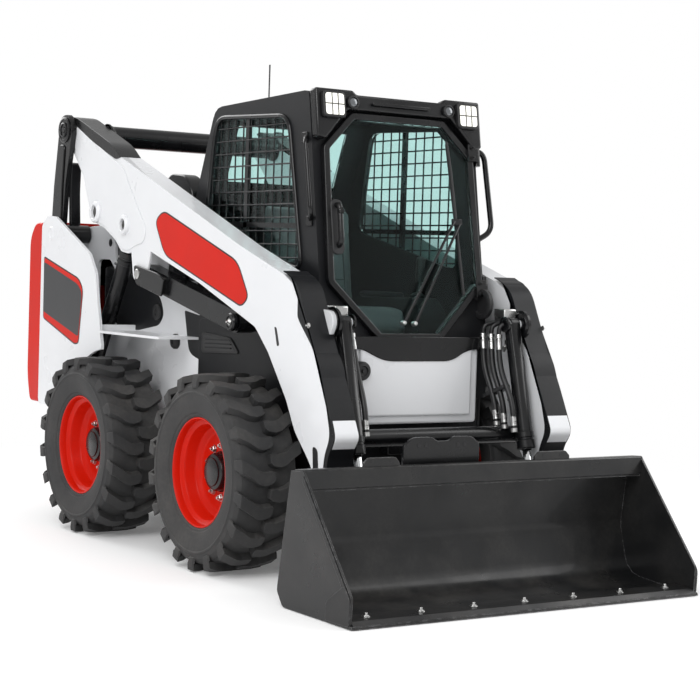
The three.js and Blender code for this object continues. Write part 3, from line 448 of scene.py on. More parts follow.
tyre_rubber = finish("tyre_rubber", "tyre_rubber", (0.028, 0.028, 0.029), 0.72, spread=0.08,
                     shade=0.7, scale=420, bump=0.25, dirt=0.22)
WHEELS = [(end, hand, side, Vector((middle, side * TYRE_MIDDLE, AXLE_Z)))
          for end, middle in (("front", AXLE_X), ("rear", REAR_AXLE_X)) for hand, side in SIDES]
for end, hand, side, centre in WHEELS:
    tyre = piece(f"{end}_{hand}_lugged_tyre", tyre_mesh(side, centre), f"{end}_{hand}_wheel",
                 tyre_rubber)
    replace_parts(tyre, f"{end}_{hand}_tyre")
    soften(tyre, 0.004, 24)

# ---------- rims, wheel nuts and hub caps ----------
# Pressed steel rims, sprayed red-orange, with a deep stepped dish; ten plated nuts hold the disc
# around a black cap over the hub.
red_enamel = finish("red_enamel", "red_paint", (0.6, 0.01, 0.0015), 0.36, spread=0.05, shade=0.92,
                    bump=0.02, dirt=0.01, coat=0.0, shine=0.15)
black_enamel = finish("black_enamel", "black_paint", (0.004, 0.0042, 0.005), 0.26, spread=0.06,
                      shade=0.8, bump=0.02, dirt=0.03, coat=0.15, shine=0.35)
plated_steel = finish("plated_steel", "chrome_rod", (0.62, 0.62, 0.61), 0.28, metal=1.0,
                      spread=0.08, shade=0.85, scale=500, bump=0.03, dirt=0.08)
RIM_PROFILE = [(0.2366, -0.117), (0.2366, 0.117), (0.2345, 0.1205), (0.2300, 0.1200),
               (0.2265, 0.1130), (0.2245, 0.0900), (0.2180, 0.0830), (0.2060, 0.0780),
               (0.2020, 0.0700), (0.1995, 0.0330), (0.1950, 0.0250), (0.1860, 0.0200),
               (0.1800, 0.0110), (0.1720, 0.0060), (0.1600, 0.0050), (0.0, 0.0050),
               (0.0, -0.0080), (0.1640, -0.0080), (0.1760, -0.0050), (0.1860, 0.0060),
               (0.1900, 0.0100), (0.1940, -0.0300), (0.2120, -0.0700), (0.2240, -0.0900),
               (0.2265, -0.1130), (0.2300, -0.1200), (0.2345, -0.1205), (0.2366, -0.117)]
DISC_FACE = 0.005
NUT_COUNT = 10
NUT_CIRCLE = 0.113
CAP_PROFILE = [(0.0, -0.002), (0.088, -0.002), (0.088, 0.006), (0.082, 0.010), (0.082, 0.034),
               (0.076, 0.044), (0.062, 0.048), (0.060, 0.054), (0.046, 0.058), (0.0, 0.059)]


def turned(name, start, direction, profile, body, material, segments=40, angle=35,
           slot_name=None):
    """A round piece turned from (radius, height) points, standing on a point along a direction."""
    mesh = aim(spun(name, profile, segments), start, direction)
    return soften(piece(name, mesh, body, material, slot_name), 0, angle)


def merged(meshes, name):
    """Several small meshes as one."""
    work = bmesh.new()
    for mesh in meshes:
        work.from_mesh(mesh)
        bpy.data.meshes.remove(mesh)
    return meshed(work, name)


def joined(name, meshes, body, material, width=0.0, angle=35, slot_name=None):
    """Several small meshes as one piece."""
    return soften(piece(name, merged(meshes, name), body, material, slot_name), width, angle)


def nut_mesh(start, direction, size=0.0135, height=0.014):
    """A hexagon nut on a washer, with its stud's end standing out."""
    nut = spun("nut", [(0, height), (size * 0.86, height), (size, height - 0.002), (size, 0.003),
                       (0, 0.003)], 6)
    washer = spun("washer", [(0, 0.003), (size * 1.25, 0.003), (size * 1.25, 0), (0, 0)], 20)
    stud = spun("stud", [(0, height + 0.009), (size * 0.42, height + 0.009),
                         (size * 0.5, height + 0.007), (size * 0.5, height - 0.001)], 12)
    return aim(merged((nut, washer, stud), "nut"), start, direction)


for end, hand, side, centre in WHEELS:
    wheel = f"{end}_{hand}"
    outward = Vector((0, side, 0))
    rim = turned(f"{wheel}_dished_rim", centre, outward, RIM_PROFILE, f"{wheel}_wheel", red_enamel,
                 96, 28)
    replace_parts(rim, f"{wheel}_rim")
    turned(f"{wheel}_hub_cap", centre + outward * DISC_FACE, outward, CAP_PROFILE, f"{wheel}_wheel",
           black_enamel, 64)
    nuts = []
    for k in range(NUT_COUNT):
        angle = 2 * math.pi * (k + 0.5) / NUT_COUNT
        spot = centre + outward * DISC_FACE + NUT_CIRCLE * Vector((math.cos(angle), 0,
                                                                  math.sin(angle)))
        nuts.append(nut_mesh(spot, outward))
    joined(f"{wheel}_wheel_nuts", nuts, f"{wheel}_wheel", plated_steel)

# ---------- uprights, side covers and shelf ----------
# Folded steel plates sprayed gloss white, with a blank grey badge on each outer face; the covers
# beside the cab are charcoal, with a moulded pocket and rubber plugs. The hole in each plate and the
# inside of each pocket are painted shade: thin black sheets.
white_enamel = finish("white_enamel", "white_paint", (0.76, 0.77, 0.79), 0.3, spread=0.04,
                      shade=0.975, bump=0.012, dirt=0.02, coat=0.4)
badge_grey = finish("badge_grey", "charcoal_paint", (0.024, 0.0245, 0.027), 0.35, spread=0.03,
                    bump=0.01)
# Black used two ways: printed borders round the badges, and painted shade, where thin black sheets
# stand for holes, slots, notches and the vent pocket.
print_black_and_painted_shade = finish("print_black_and_painted_shade", "black_paint", (0.006, 0.006, 0.007), 0.35, spread=0.03,
                     bump=0.01)
moulded_rubber = finish("moulded_rubber", "black_plastic", (0.012, 0.012, 0.013), 0.55, scale=500,
                        bump=0.15)
UPRIGHT_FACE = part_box("left_upright")[1].y
PLATE_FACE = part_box("lower_frame")[1].y + 0.0155


def arc(start, corner, end, steps):
    """Points from start to end, bent towards the corner between them."""
    return [(1 - t) ** 2 * start + 2 * t * (1 - t) * corner + t * t * end
            for t in (k / steps for k in range(steps + 1))]


def rounded(points, steps=6):
    """The outline through (x, z, radius) points, each corner an arc of its radius."""
    outline = []
    count = len(points)
    for i, (x, z, *rest) in enumerate(points):
        here = Vector((x, z))
        if not rest or rest[0] <= 0:
            outline.append(here)
            continue
        before = Vector(points[i - 1][:2]) - here
        after = Vector(points[(i + 1) % count][:2]) - here
        reach = min(rest[0], before.length * 0.45, after.length * 0.45)
        start, end = here + before.normalized() * reach, here + after.normalized() * reach
        outline += arc(start, here, end, steps)
    return outline


def slab_mesh(points, place, near, far):
    """A plate cut to an outline; place turns an outline point and a depth into a position."""
    work = bmesh.new()
    outline = rounded(points)
    front_ring = [work.verts.new(place(p, near)) for p in outline]
    back_ring = [work.verts.new(place(p, far)) for p in outline]
    work.faces.new(front_ring)
    work.faces.new(list(reversed(back_ring)))
    for i in range(len(outline)):
        j = (i + 1) % len(outline)
        work.faces.new((front_ring[i], back_ring[i], back_ring[j], front_ring[j]))
    bmesh.ops.recalc_face_normals(work, faces=work.faces)
    return meshed(work, "plate")


def side_slab(points, y_a, y_b):
    """A side-view outline, measured from the front axle, carried between two widths."""
    return slab_mesh(points, lambda p, y: at(p.x, y, p.y), y_a, y_b)


def side_plate(name, points, y_a, y_b, body, material, width=0.002):
    """A plate cut to a side-view outline, as a piece."""
    return soften(piece(name, side_slab(points, y_a, y_b), body, material), width)


def grown(points, distance):
    """A convex outline moved outwards by a distance, corner radii growing with it."""
    centre = sum((Vector(p[:2]) for p in points), Vector((0, 0))) / len(points)
    result = []
    for i, (x, z, *rest) in enumerate(points):
        a = (Vector((x, z)) - Vector(points[i - 1][:2])).normalized()
        b = (Vector(points[(i + 1) % len(points)][:2]) - Vector((x, z))).normalized()
        out_a, out_b = Vector((a.y, -a.x)), Vector((b.y, -b.x))
        if out_a.dot(Vector((x, z)) - centre) < 0:
            out_a, out_b = -out_a, -out_b
        corner = Vector((x, z)) + (out_a + out_b) * (distance / (1 + out_a.dot(out_b)))
        result.append((corner.x, corner.y, (rest[0] if rest else 0) + max(distance, 0)))
    return result


for hand, side in SIDES:
    dress(f"{hand}_upright", white_enamel, 0.003)
    dress(f"{hand}_side_cover", charcoal_coat, 0.003)
    face = side * UPRIGHT_FACE
    badge = [(-1.938, 1.318, 0.012), (-1.515, 1.215, 0.045), (-1.466, 1.165, 0.04),
             (-1.505, 0.902, 0.02), (-1.545, 0.895, 0.03), (-1.934, 1.010, 0.012)]
    side_plate(f"{hand}_badge_edge", grown(badge, 0.007), face - side * 0.001, face + side * 0.0006,
               "chassis", print_black_and_painted_shade, 0)
    side_plate(f"{hand}_badge_red", badge, face, face + side * 0.001, "chassis", red_enamel, 0)
    side_plate(f"{hand}_badge_field",
               [(-1.938, 1.296, 0.012), (-1.525, 1.192, 0.045), (-1.472, 1.15, 0.04),
                (-1.506, 0.93, 0.02), (-1.934, 1.04, 0.012)], face, face + side * 0.0014, "chassis",
               badge_grey, 0)
    outward = Vector((0, side, 0))
    turned(f"{hand}_link_pin_boss", at(-1.865, face, 1.445), outward,
           [(0, -0.004), (0.02, -0.004), (0.022, 0.002), (0.03, 0.004), (0.036, 0.0),
            (0.036, -0.006)], "chassis", white_enamel)
    turned(f"{hand}_link_pin_end", at(-1.865, face - side * 0.003, 1.445), outward,
           [(0, 0.002), (0.014, 0.002), (0.016, 0)], "chassis", plated_steel, 24)
    plate = side * PLATE_FACE
    turned(f"{hand}_rubber_plug", at(-0.858, plate, 0.941), outward,
           [(0.036, -0.001), (0.036, 0.012), (0.03, 0.02), (0.014, 0.022), (0.012, 0.017),
            (0, 0.016)], "chassis", moulded_rubber)
    # A thin black disc on the plate: painted shade standing for the hole.
    turned(f"{hand}_plate_hole_painted_shade", at(-1.6, plate, 1.405), outward,
           [(0.02, 0.0004), (0.019, 0.0006), (0, 0.0006)], "chassis", print_black_and_painted_shade, 24)
    cover = side * (PLATE_FACE + 0.0015)
    side_plate(f"{hand}_cover_pocket_rim",
               [(-0.6, 1.0, 0.02), (-0.6, 0.9, 0.03), (-0.25, 0.915, 0.03), (-0.33, 0.985, 0.03)],
               cover - side * 0.002, cover + side * 0.006, "chassis", moulded_rubber, 0.003)
    # The pocket's inside is a thin black sheet: painted shade for the recess behind the louvres.
    side_plate(f"{hand}_cover_pocket",
               [(-0.585, 0.988, 0.015), (-0.585, 0.912, 0.02), (-0.285, 0.925, 0.02),
                (-0.342, 0.972, 0.02)], cover + side * 0.004, cover + side * 0.0066, "chassis",
               print_black_and_painted_shade, 0)
    side_plate(f"{hand}_cover_rear",
               [(-0.79, 1.095, 0.02), (-0.735, 0.893, 0.05), (-0.64, 0.866, 0.05), (-0.52, 0.862),
                (-0.52, 1.06, 0.02)], side * (PLATE_FACE - 0.017), side * (PLATE_FACE + 0.0005),
               "chassis", charcoal_coat, 0.004)
    side_plate(f"{hand}_cylinder_pocket",
               [(-1.44, 1.3, 0.05), (-1.275, 1.21, 0.05), (-1.18, 1.215, 0.05),
                (-1.029, 1.14, 0.05), (-0.993, 1.06, 0.05), (-1.042, 1.009, 0.04), (-1.26, 0.976),
                (-1.5, 0.972), (-1.5, 1.29, 0.05)], side * (PLATE_FACE - 0.017),
               side * (PLATE_FACE + 0.0035), "chassis", charcoal_coat, 0.003)
    turned(f"{hand}_pocket_cap", at(-1.05, side * (PLATE_FACE + 0.003), 1.072), outward,
           [(0.04, -0.001), (0.04, 0.008), (0.034, 0.013), (0.016, 0.013), (0.014, 0.008),
            (0, 0.008)], "chassis", moulded_rubber)
    for k in range(3):
        side_plate(f"{hand}_pocket_louvre_{k}",
                   [(-0.56, 0.928 + 0.018 * k), (-0.56, 0.934 + 0.018 * k),
                    (-0.32 - 0.012 * k, 0.94 + 0.018 * k), (-0.318, 0.934 + 0.018 * k)],
                   cover + side * 0.006, cover + side * 0.011, "chassis", charcoal_coat, 0.001)

# ---------- rear links ----------
# Thick black plates outside the arms, with a flange welded along the inside and a ridge folded
# down the middle; a ringed cap closes the pin at each top.
PIN_CAP = [(0.066, -0.002), (0.066, 0.006), (0.060, 0.010), (0.052, 0.010), (0.050, 0.006),
           (0.040, 0.006), (0.038, 0.013), (0.030, 0.015), (0.028, 0.009), (0.016, 0.008),
           (0.014, 0.012), (0, 0.012)]
LINK_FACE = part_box("left_rear_link")[1].y
for hand, side in SIDES:
    dress(f"{hand}_rear_link", black_enamel, 0.005)
    face = side * LINK_FACE
    turned(f"{hand}_link_head_cap", at(-1.786, face, 1.972), Vector((0, side, 0)), PIN_CAP,
           "rear_links", black_enamel, 56)
    side_plate(f"{hand}_link_flange",
               [(-1.772, 1.81, 0.01), (-1.744, 1.8, 0.01), (-1.752, 1.66, 0.03),
                (-1.738, 1.49, 0.01), (-1.764, 1.48, 0.01), (-1.776, 1.66, 0.03)], side * 0.56,
               side * 0.613, "rear_links", black_enamel, 0.003)
    side_plate(f"{hand}_link_rib",
               [(-1.835, 1.9, 0.03), (-1.775, 1.895, 0.03), (-1.795, 1.69, 0.03), (-1.8, 1.5, 0.03),
                (-1.885, 1.5, 0.03), (-1.88, 1.69, 0.03)], face - side * 0.001, face + side * 0.007,
               "rear_links", black_enamel, 0.0065)

# ---------- control links ----------
# A straight black box beam each side, its front eye on a bolted pin with a wide cap and its
# rear end plated over the arm's pin.
COVER_PIN_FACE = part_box("left_side_cover")[1].y
for hand, side in SIDES:
    dress(f"{hand}_control_link", black_enamel, 0.008, segments=3)
    outward = Vector((0, side, 0))
    side_plate(f"{hand}_control_link_end",
               [(-1.012, 1.3, 0.03), (-0.76, 1.262, 0.03), (-0.7, 1.232, 0.01),
                (-0.722, 1.154, 0.01), (-0.986, 1.206, 0.03)], side * 0.6065, side * 0.618,
               "control_links", black_enamel, 0.003)
    side_plate(f"{hand}_control_link_spacer",
               [(-0.85, 1.268), (-0.71, 1.236), (-0.728, 1.166), (-0.866, 1.194)], side * 0.588,
               side * 0.6075, "control_links", black_enamel, 0.002)
    turned(f"{hand}_control_link_pin", at(-0.965, side * 0.6175, 1.255), outward,
           [(0.024, 0), (0.024, 0.005), (0.02, 0.008), (0, 0.008)], "control_links", plated_steel,
           24)
    turned(f"{hand}_control_pin_cap", at(-0.07, side * COVER_PIN_FACE, 1.065), outward,
           [(0.04, -0.01), (0.04, 0.004), (0.034, 0.01), (0.026, 0.01), (0.024, 0.006),
            (0.014, 0.006), (0, 0.006)], "chassis", black_enamel)
    joined(f"{hand}_control_pin_bolt",
           [nut_mesh(at(-0.07, side * (COVER_PIN_FACE + 0.006), 1.065), outward, 0.012, 0.009)],
           "chassis", plated_steel)

# ---------- lift arms ----------
# Deep white box arms with a doubler plate at the rear, turned bosses for the pins, black caps
# at the rear pin and down the front of each leg, and a blank red-orange badge with six corners.
ARM_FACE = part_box("left_lift_arm")[1].y
ARM_BACK = 0.495
BOSS = [(0.054, -0.002), (0.054, 0.010), (0.048, 0.018), (0.036, 0.020), (0.032, 0.016),
        (0.030, 0.001)]
ARM_BADGE = [(-0.815, 1.505, 0.05), (-0.738, 1.548, 0.05), (-0.040, 1.325, 0.05),
             (0.060, 1.178, 0.05), (0.006, 1.138, 0.05), (-0.715, 1.352, 0.05)]
ARM_DOUBLER = [(-1.735, 1.975, 0.03), (-1.700, 1.985, 0.03), (-1.160, 1.760, 0.08),
               (-1.110, 1.690, 0.06), (-0.905, 1.465, 0.04), (-0.935, 1.400, 0.04),
               (-1.010, 1.392, 0.04), (-1.090, 1.362, 0.06), (-1.166, 1.372, 0.05),
               (-1.232, 1.425, 0.04), (-1.360, 1.484, 0.06), (-1.470, 1.512, 0.05),
               (-1.532, 1.582, 0.06), (-1.610, 1.742, 0.06), (-1.720, 1.850, 0.06)]
REAR_CAP = [(-1.800, 2.028, 0.03), (-1.762, 2.040, 0.03), (-1.700, 2.030, 0.04),
            (-1.290, 1.880, 0.05), (-1.196, 1.815, 0.012), (-1.250, 1.806, 0.02),
            (-1.520, 1.905, 0.05), (-1.700, 1.985, 0.04)]
LEG_FRONT = [(0.352, 1.290, 0.02), (0.430, 1.268, 0.05), (0.470, 1.200, 0.05),
             (0.470, 1.110, 0.015), (0.492, 1.085, 0.015), (0.640, 0.945, 0.06),
             (0.706, 0.770, 0.06), (0.744, 0.645, 0.04), (0.706, 0.566, 0.03),
             (0.698, 0.500, 0.04), (0.728, 0.350, 0.02), (0.757, 0.345, 0.01),
             (0.724, 0.510, 0.05), (0.736, 0.572, 0.04), (0.785, 0.640, 0.04),
             (0.684, 0.846, 0.10),
             (0.560, 1.060, 0.08), (0.470, 1.245, 0.06), (0.350, 1.296, 0.02)]
for hand, side in SIDES:
    outward = Vector((0, side, 0))
    face, back = side * ARM_FACE, side * ARM_BACK
    dress(f"{hand}_lift_arm", white_enamel, 0.009, segments=4)
    side_plate(f"{hand}_arm_doubler", ARM_DOUBLER, face - side * 0.001, face + side * 0.0045,
               "lift_arms", white_enamel, 0.004)
    side_plate(f"{hand}_arm_badge_edge", grown(ARM_BADGE, 0.007), face - side * 0.001,
               face + side * 0.0006, "lift_arms", print_black_and_painted_shade, 0)
    side_plate(f"{hand}_arm_badge", ARM_BADGE, face, face + side * 0.001, "lift_arms", red_enamel,
               0)
    for label, x, z, scale in (("rear", -1.450, 1.553, 1.0), ("front", -1.128, 1.488, 0.9)):
        turned(f"{hand}_arm_{label}_boss", at(x, face + side * 0.004, z), outward,
               [(radius * scale, height) for radius, height in BOSS], "lift_arms", white_enamel, 48)
        turned(f"{hand}_arm_{label}_pin_end", at(x, face + side * 0.01, z), outward,
               [(0.031 * scale, -0.006), (0.031 * scale, -0.003), (0.02 * scale, -0.004),
                (0.018 * scale, 0.004), (0.014 * scale, 0.006), (0, 0.006)], "lift_arms",
               cast_metal, 24)
    side_plate(f"{hand}_arm_rear_cap", REAR_CAP, back + side * 0.002, face + side * 0.0055,
               "lift_arms", black_enamel, 0.006)
    side_plate(f"{hand}_arm_leg_front", LEG_FRONT, back - side * 0.002, face + side * 0.004,
               "lift_arms", charcoal_coat, 0.003)
    # A thin black sheet on the arm face: painted shade standing for the slot.
    side_plate(f"{hand}_arm_slot_painted_shade",
               [(0.286, 1.062, 0.012), (0.304, 1.058, 0.012), (0.33, 0.985, 0.012),
                (0.312, 0.98, 0.012)], face - side * 0.001, face + side * 0.0008, "lift_arms",
               print_black_and_painted_shade, 0)
    # A thin black sheet on the leg: painted shade standing for the notch.
    side_plate(f"{hand}_leg_notch_painted_shade",
               [(0.612, 0.596, 0.02), (0.65, 0.585, 0.02), (0.664, 0.47, 0.02), (0.64, 0.38, 0.02),
                (0.622, 0.48, 0.02)], face - side * 0.001, face + side * 0.001, "lift_arms",
               print_black_and_painted_shade, 0)
    joined(f"{hand}_leg_front_bolt",
           [nut_mesh(at(0.56, face + side * 0.003, 1.078), outward, 0.009, 0.006)], "lift_arms",
           plated_steel)
for node in ("rear_cross_tube", "front_cross_tube"):
    dress(node, black_enamel, 0.0, 40)
for hand, side in SIDES:
    turned(f"{hand}_tube_collar", at(-1.6, side * (ARM_BACK - 0.001), 1.94), Vector((0, -side, 0)),
           [(0.064, 0), (0.064, 0.01), (0.058, 0.016), (0.054, 0.03), (0.052, 0.03)], "lift_arms",
           black_enamel, 48)

# ---------- lift and tilt cylinders ----------
# Gloss black barrels with a threaded gland at the mouth, hard-chromed rods and forged eyes;
# ports and crimped hose ends stand on the barrels.
hard_chrome = finish("hard_chrome", "chrome_rod", (0.78, 0.79, 0.8), 0.09, metal=1.0, spread=0.03,
                     shade=0.93, bump=0.0)
LIFT_BASE, LIFT_EYE = (-1.560, 0.775), (-1.130, 1.475)
TILT_BASE, TILT_EYE = (0.556, 1.092), (0.738, 0.352)
TILT_Y = 0.440
LIFT_Y = (ARM_FACE + ARM_BACK) / 2


def gland(name, base, eye, y, reach, radius, body):
    """The gland nut and collars around a barrel's mouth, a reach along from its base."""
    start, end = at(base[0], y, base[1]), at(eye[0], y, eye[1])
    along = (end - start).normalized()
    turned(name, start + along * reach, along,
           [(radius, -0.075), (radius + 0.004, -0.072), (radius + 0.004, -0.05), (radius, -0.047),
            (radius, -0.04), (radius + 0.005, -0.036), (radius + 0.005, -0.004),
            (radius + 0.001, 0.0), (radius * 0.66, 0.002), (radius * 0.62, 0.006),
            (radius * 0.58, 0.006)], body, black_enamel, 48)


def hose_end(name, start, direction, body, size=1.0):
    """A crimped hose ferrule with its swivel nut, in plated steel."""
    turned(name, start, direction,
           [(0.0, 0.0), (0.013 * size, 0.0), (0.013 * size, 0.014 * size),
            (0.01 * size, 0.016 * size), (0.01 * size, 0.022 * size), (0.012 * size, 0.024 * size),
            (0.012 * size, 0.03 * size), (0.0115 * size, 0.032 * size),
            (0.012 * size, 0.034 * size), (0.0115 * size, 0.038 * size),
            (0.012 * size, 0.044 * size), (0.0115 * size, 0.058 * size), (0.0, 0.058 * size)], body,
           plated_steel, 20)


for hand, side in SIDES:
    for kind, base, eye, y, reach, radius in (
            ("lift", LIFT_BASE, LIFT_EYE, LIFT_Y, 0.6955, 0.038),
            ("tilt", TILT_BASE, TILT_EYE, TILT_Y, 0.546, 0.035)):
        dress(f"{hand}_{kind}_barrel", black_enamel, 0.0, 40)
        dress(f"{hand}_{kind}_rod", hard_chrome, 0.0, 40)
        gland(f"{hand}_{kind}_gland", base, eye, side * y, reach, radius, f"{kind}_barrels")
        start, end = at(base[0], side * y, base[1]), at(eye[0], side * y, eye[1])
        along = (end - start).normalized()
        across = Vector((along.z, 0, -along.x)) * (1 if kind == "tilt" else -1)
        for label, place in (("low", 0.070), ("high", reach - (0.200 if kind == "tilt" else 0.100))):
            root = start + along * place + across * (radius - 0.004)
            turned(f"{hand}_{kind}_{label}_port", root, across,
                   [(0.016, 0), (0.016, 0.014), (0.012, 0.018), (0, 0.018)], f"{kind}_barrels",
                   black_enamel, 20)
            hose_end(f"{hand}_{kind}_{label}_fitting", root + across * 0.016,
                     across + along * (0.9 if label == "low" else -0.9), f"{kind}_barrels", 0.8)
    side_plate(f"{hand}_tilt_ear_cover",
               [(0.4, 1.156, 0.02), (0.578, 1.143, 0.04), (0.603, 1.092, 0.04),
                (0.578, 1.044, 0.04), (0.494, 0.966, 0.02)], side * 0.4825, side * 0.4955,
               "lift_arms", black_enamel, 0.003)
    turned(f"{hand}_tilt_boss_cover", at(TILT_BASE[0], side * 0.4965, TILT_BASE[1]),
           Vector((0, -side, 0)), [(0.062, 0), (0.062, 0.012), (0.052, 0.017), (0.049, 0.0195),
                                   (0.02, 0.0195)], "lift_arms", black_enamel)
    turned(f"{hand}_tilt_pin_head", at(TILT_BASE[0], side * (TILT_Y - 0.0355), TILT_BASE[1]),
           Vector((0, -side, 0)), [(0.034, 0), (0.034, 0.008), (0.028, 0.012), (0.016, 0.012),
                                   (0.014, 0.009), (0, 0.009)], "lift_arms", black_enamel)

# ---------- cab, hood and air box ----------
# A folded and welded steel cab sprayed charcoal, with an engine hood, an air box and an air
# cleaner behind it and an antenna on its roof.
SILL = (0.395, 0.975)
SLOPE = math.atan2(0.395 - 0.222, 2.062 - 0.975)
UPWARD = Vector((-math.sin(SLOPE), 0, math.cos(SLOPE)))
OUTWARD = Vector((math.cos(SLOPE), 0, math.sin(SLOPE)))
CAB_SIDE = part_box("cab_shell")[1].y
WINDOW = [(-0.556, 1.972, 0.07), (0.060, 1.950, 0.07), (0.196, 1.312, 0.06),
          (-0.640, 1.496, 0.07)]


def front(across, up, out):
    """A position on the cab's sloped front: across, up from the sill, out along its normal."""
    return at(SILL[0], across, SILL[1]) + UPWARD * up + OUTWARD * out


def bent(points, radius, closed=False, steps=6):
    """A path through the points, each corner an arc of about the radius."""
    points = [Vector(p) for p in points]
    path = []
    for i, here in enumerate(points):
        if not closed and i in (0, len(points) - 1):
            path.append(here)
            continue
        before, after = points[i - 1] - here, points[(i + 1) % len(points)] - here
        start = here + before.normalized() * min(radius, before.length * 0.45)
        end = here + after.normalized() * min(radius, after.length * 0.45)
        path += arc(start, here, end, steps)
    return path


def tube_mesh(points, thickness, bend=0.03, closed=False, sides=8):
    """A round bar swept along a path with rounded corners."""
    path = bent(points, bend, closed)
    work = bmesh.new()
    rings = []
    side = None
    for i, here in enumerate(path):
        before = path[i - 1] if closed or i else here
        after = path[(i + 1) % len(path)] if closed or i + 1 < len(path) else here
        along = (after - before).normalized()
        side = along.orthogonal() if side is None else side - along * side.dot(along)
        side.normalize()
        other = along.cross(side)
        rings.append([work.verts.new(here + (side * math.cos(turn) + other * math.sin(turn))
                                     * thickness)
                      for turn in (2 * math.pi * k / sides for k in range(sides))])
    for i in range(len(rings) - (0 if closed else 1)):
        ring, following = rings[i], rings[(i + 1) % len(rings)]
        for k in range(sides):
            j = (k + 1) % sides
            work.faces.new((ring[k], ring[j], following[j], following[k]))
    if not closed:
        work.faces.new(list(reversed(rings[0])))
        work.faces.new(rings[-1])
    return meshed(work, "tube")


FORWARD = Vector((1, 0, 0))
LEFT = Vector((0, 1, 0))


def block_mesh(centre, size, x_axis=FORWARD, y_axis=LEFT):
    """A rectangular block about a centre, turned to two of its axes."""
    x_axis = x_axis.normalized()
    y_axis = (y_axis - x_axis * x_axis.dot(y_axis)).normalized()
    turn = Matrix((x_axis, y_axis, x_axis.cross(y_axis))).transposed().to_4x4()
    work = bmesh.new()
    bmesh.ops.create_cube(work, size=1.0, matrix=Matrix.Translation(centre) @ turn
                          @ Matrix.Diagonal((*size, 1.0)))
    return meshed(work, "block")


dress("cab_shell", charcoal_coat, 0.009, segments=3)
for node in ("engine_hood", "air_box", "air_cleaner", "antenna"):
    dress(node, black_enamel, 0.008 if node != "antenna" else 0.0, segments=3)
joined("breather_box",
       [side_slab([(-1.15, 1.455, 0.02), (-1.15, 1.7, 0.04), (-1.08, 1.745, 0.05),
                   (-0.93, 1.735, 0.05), (-0.86, 1.66, 0.05), (-0.83, 1.455, 0.02)], -0.395,
                  -0.315),
        side_slab([(-1.11, 1.46, 0.02), (-1.11, 1.69, 0.04), (-1.06, 1.725, 0.04),
                   (-0.94, 1.715, 0.04), (-0.88, 1.65, 0.04), (-0.85, 1.46, 0.02)], -0.32, -0.306)],
       "chassis", black_enamel, 0.012, slot_name="black_plastic")
HOOD_LOUVRES = [at(-1.30 - 0.09 * k, 0, 1.4515) for k in range(6)]
joined("hood_louvres", [block_mesh(place, (0.045, 0.52, 0.007)) for place in HOOD_LOUVRES],
       "chassis", black_enamel, 0.002, slot_name="charcoal_paint")

# ---------- cab windows and screens ----------
# Flat tinted glass in rubber seals; each side window is guarded by a welded steel screen with
# a post and a sill bar.
DEEP_TINT, PALE_TINT = (0.66, 0.85, 0.83, 1), (0.71, 0.88, 0.86, 1)
window_glass = bpy.data.materials.new("window_glass")
window_glass.use_nodes = True
tree = window_glass.node_tree
tree.nodes.clear()
smears = linked(tree, "TexNoise",
                {"Vector": linked(tree, "TexCoord").outputs["Object"], "Scale": 9.0, "Detail": 4.0})
smear_rough = linked(tree, "MapRange",
                     {"Value": smears.outputs["Fac"], "To Min": 0.0, "To Max": 0.035})
smear_tint = linked(tree, "Mix", {0: smears.outputs["Fac"], 6: DEEP_TINT, 7: PALE_TINT},
                    data_type="RGBA")
glass_body = linked(tree, "BsdfPrincipled",
                    {"Metallic": 0.0, "IOR": 1.2, "Transmission Weight": 1.0,
                     "Roughness": smear_rough.outputs["Result"],
                     "Base Color": smear_tint.outputs[2]})
linked(tree, "OutputMaterial", {"Surface": glass_body.outputs["BSDF"]})


def clipped(start, end, outline):
    """The part of a line inside a convex outline, or None."""
    low, high = 0.0, 1.0
    centre = sum(outline, Vector((0, 0))) / len(outline)
    for i, here in enumerate(outline):
        edge = outline[(i + 1) % len(outline)] - here
        normal = Vector((-edge.y, edge.x))
        if normal.dot(centre - here) < 0:
            normal = -normal
        a, b = normal.dot(start - here), normal.dot(end - here)
        if a < 0 and b < 0:
            return None
        if a < 0:
            low = max(low, a / (a - b))
        if b < 0:
            high = min(high, a / (a - b))
    return (start.lerp(end, low), start.lerp(end, high)) if low < high else None


for node in ("left_side_window", "right_side_window", "rear_window"):
    dress(node, window_glass, 0.0)
SCREEN = rounded(WINDOW)
WIRE_RADIUS = 0.0038
UPRIGHT_WIRES = [(0.4265, Vector((x, 1.2)), Vector((x, 2.1)))
                 for x in (-0.600 + 0.068 * k for k in range(12))]
LEVEL_WIRES = [(0.4285, Vector((-0.8, z)), Vector((0.4, z)))
               for z in (1.350 + 0.058 * k for k in range(11))]
for hand, side in SIDES:
    wires = []
    for y, start, end in UPRIGHT_WIRES + LEVEL_WIRES:
        run = clipped(start, end, SCREEN)
        if run:
            wires.append(tube_mesh([at(p.x, side * y, p.y) for p in run], WIRE_RADIUS, sides=6))
    for start, end, size in ((Vector((-0.285, 1.2)), Vector((-0.285, 2.1)), 0.030),
                             (Vector((-0.8, 1.500)), Vector((0.4, 1.485)), 0.022)):
        a, b = clipped(start, end, SCREEN)
        near, far = at(a.x, side * 0.4275, a.y), at(b.x, side * 0.4275, b.y)
        wires.append(block_mesh((near + far) / 2, ((far - near).length, 0.008, size), far - near))
    joined(f"{hand}_window_screen", wires, "chassis", black_enamel)
    ring = [at(p.x, side * (CAB_SIDE + 0.001), p.y)
            for p in rounded(grown(WINDOW, 0.012), 8)]
    joined(f"{hand}_window_seal", [tube_mesh(ring, 0.011, bend=0.0, closed=True, sides=12)],
           "chassis", black_enamel, slot_name="black_plastic")

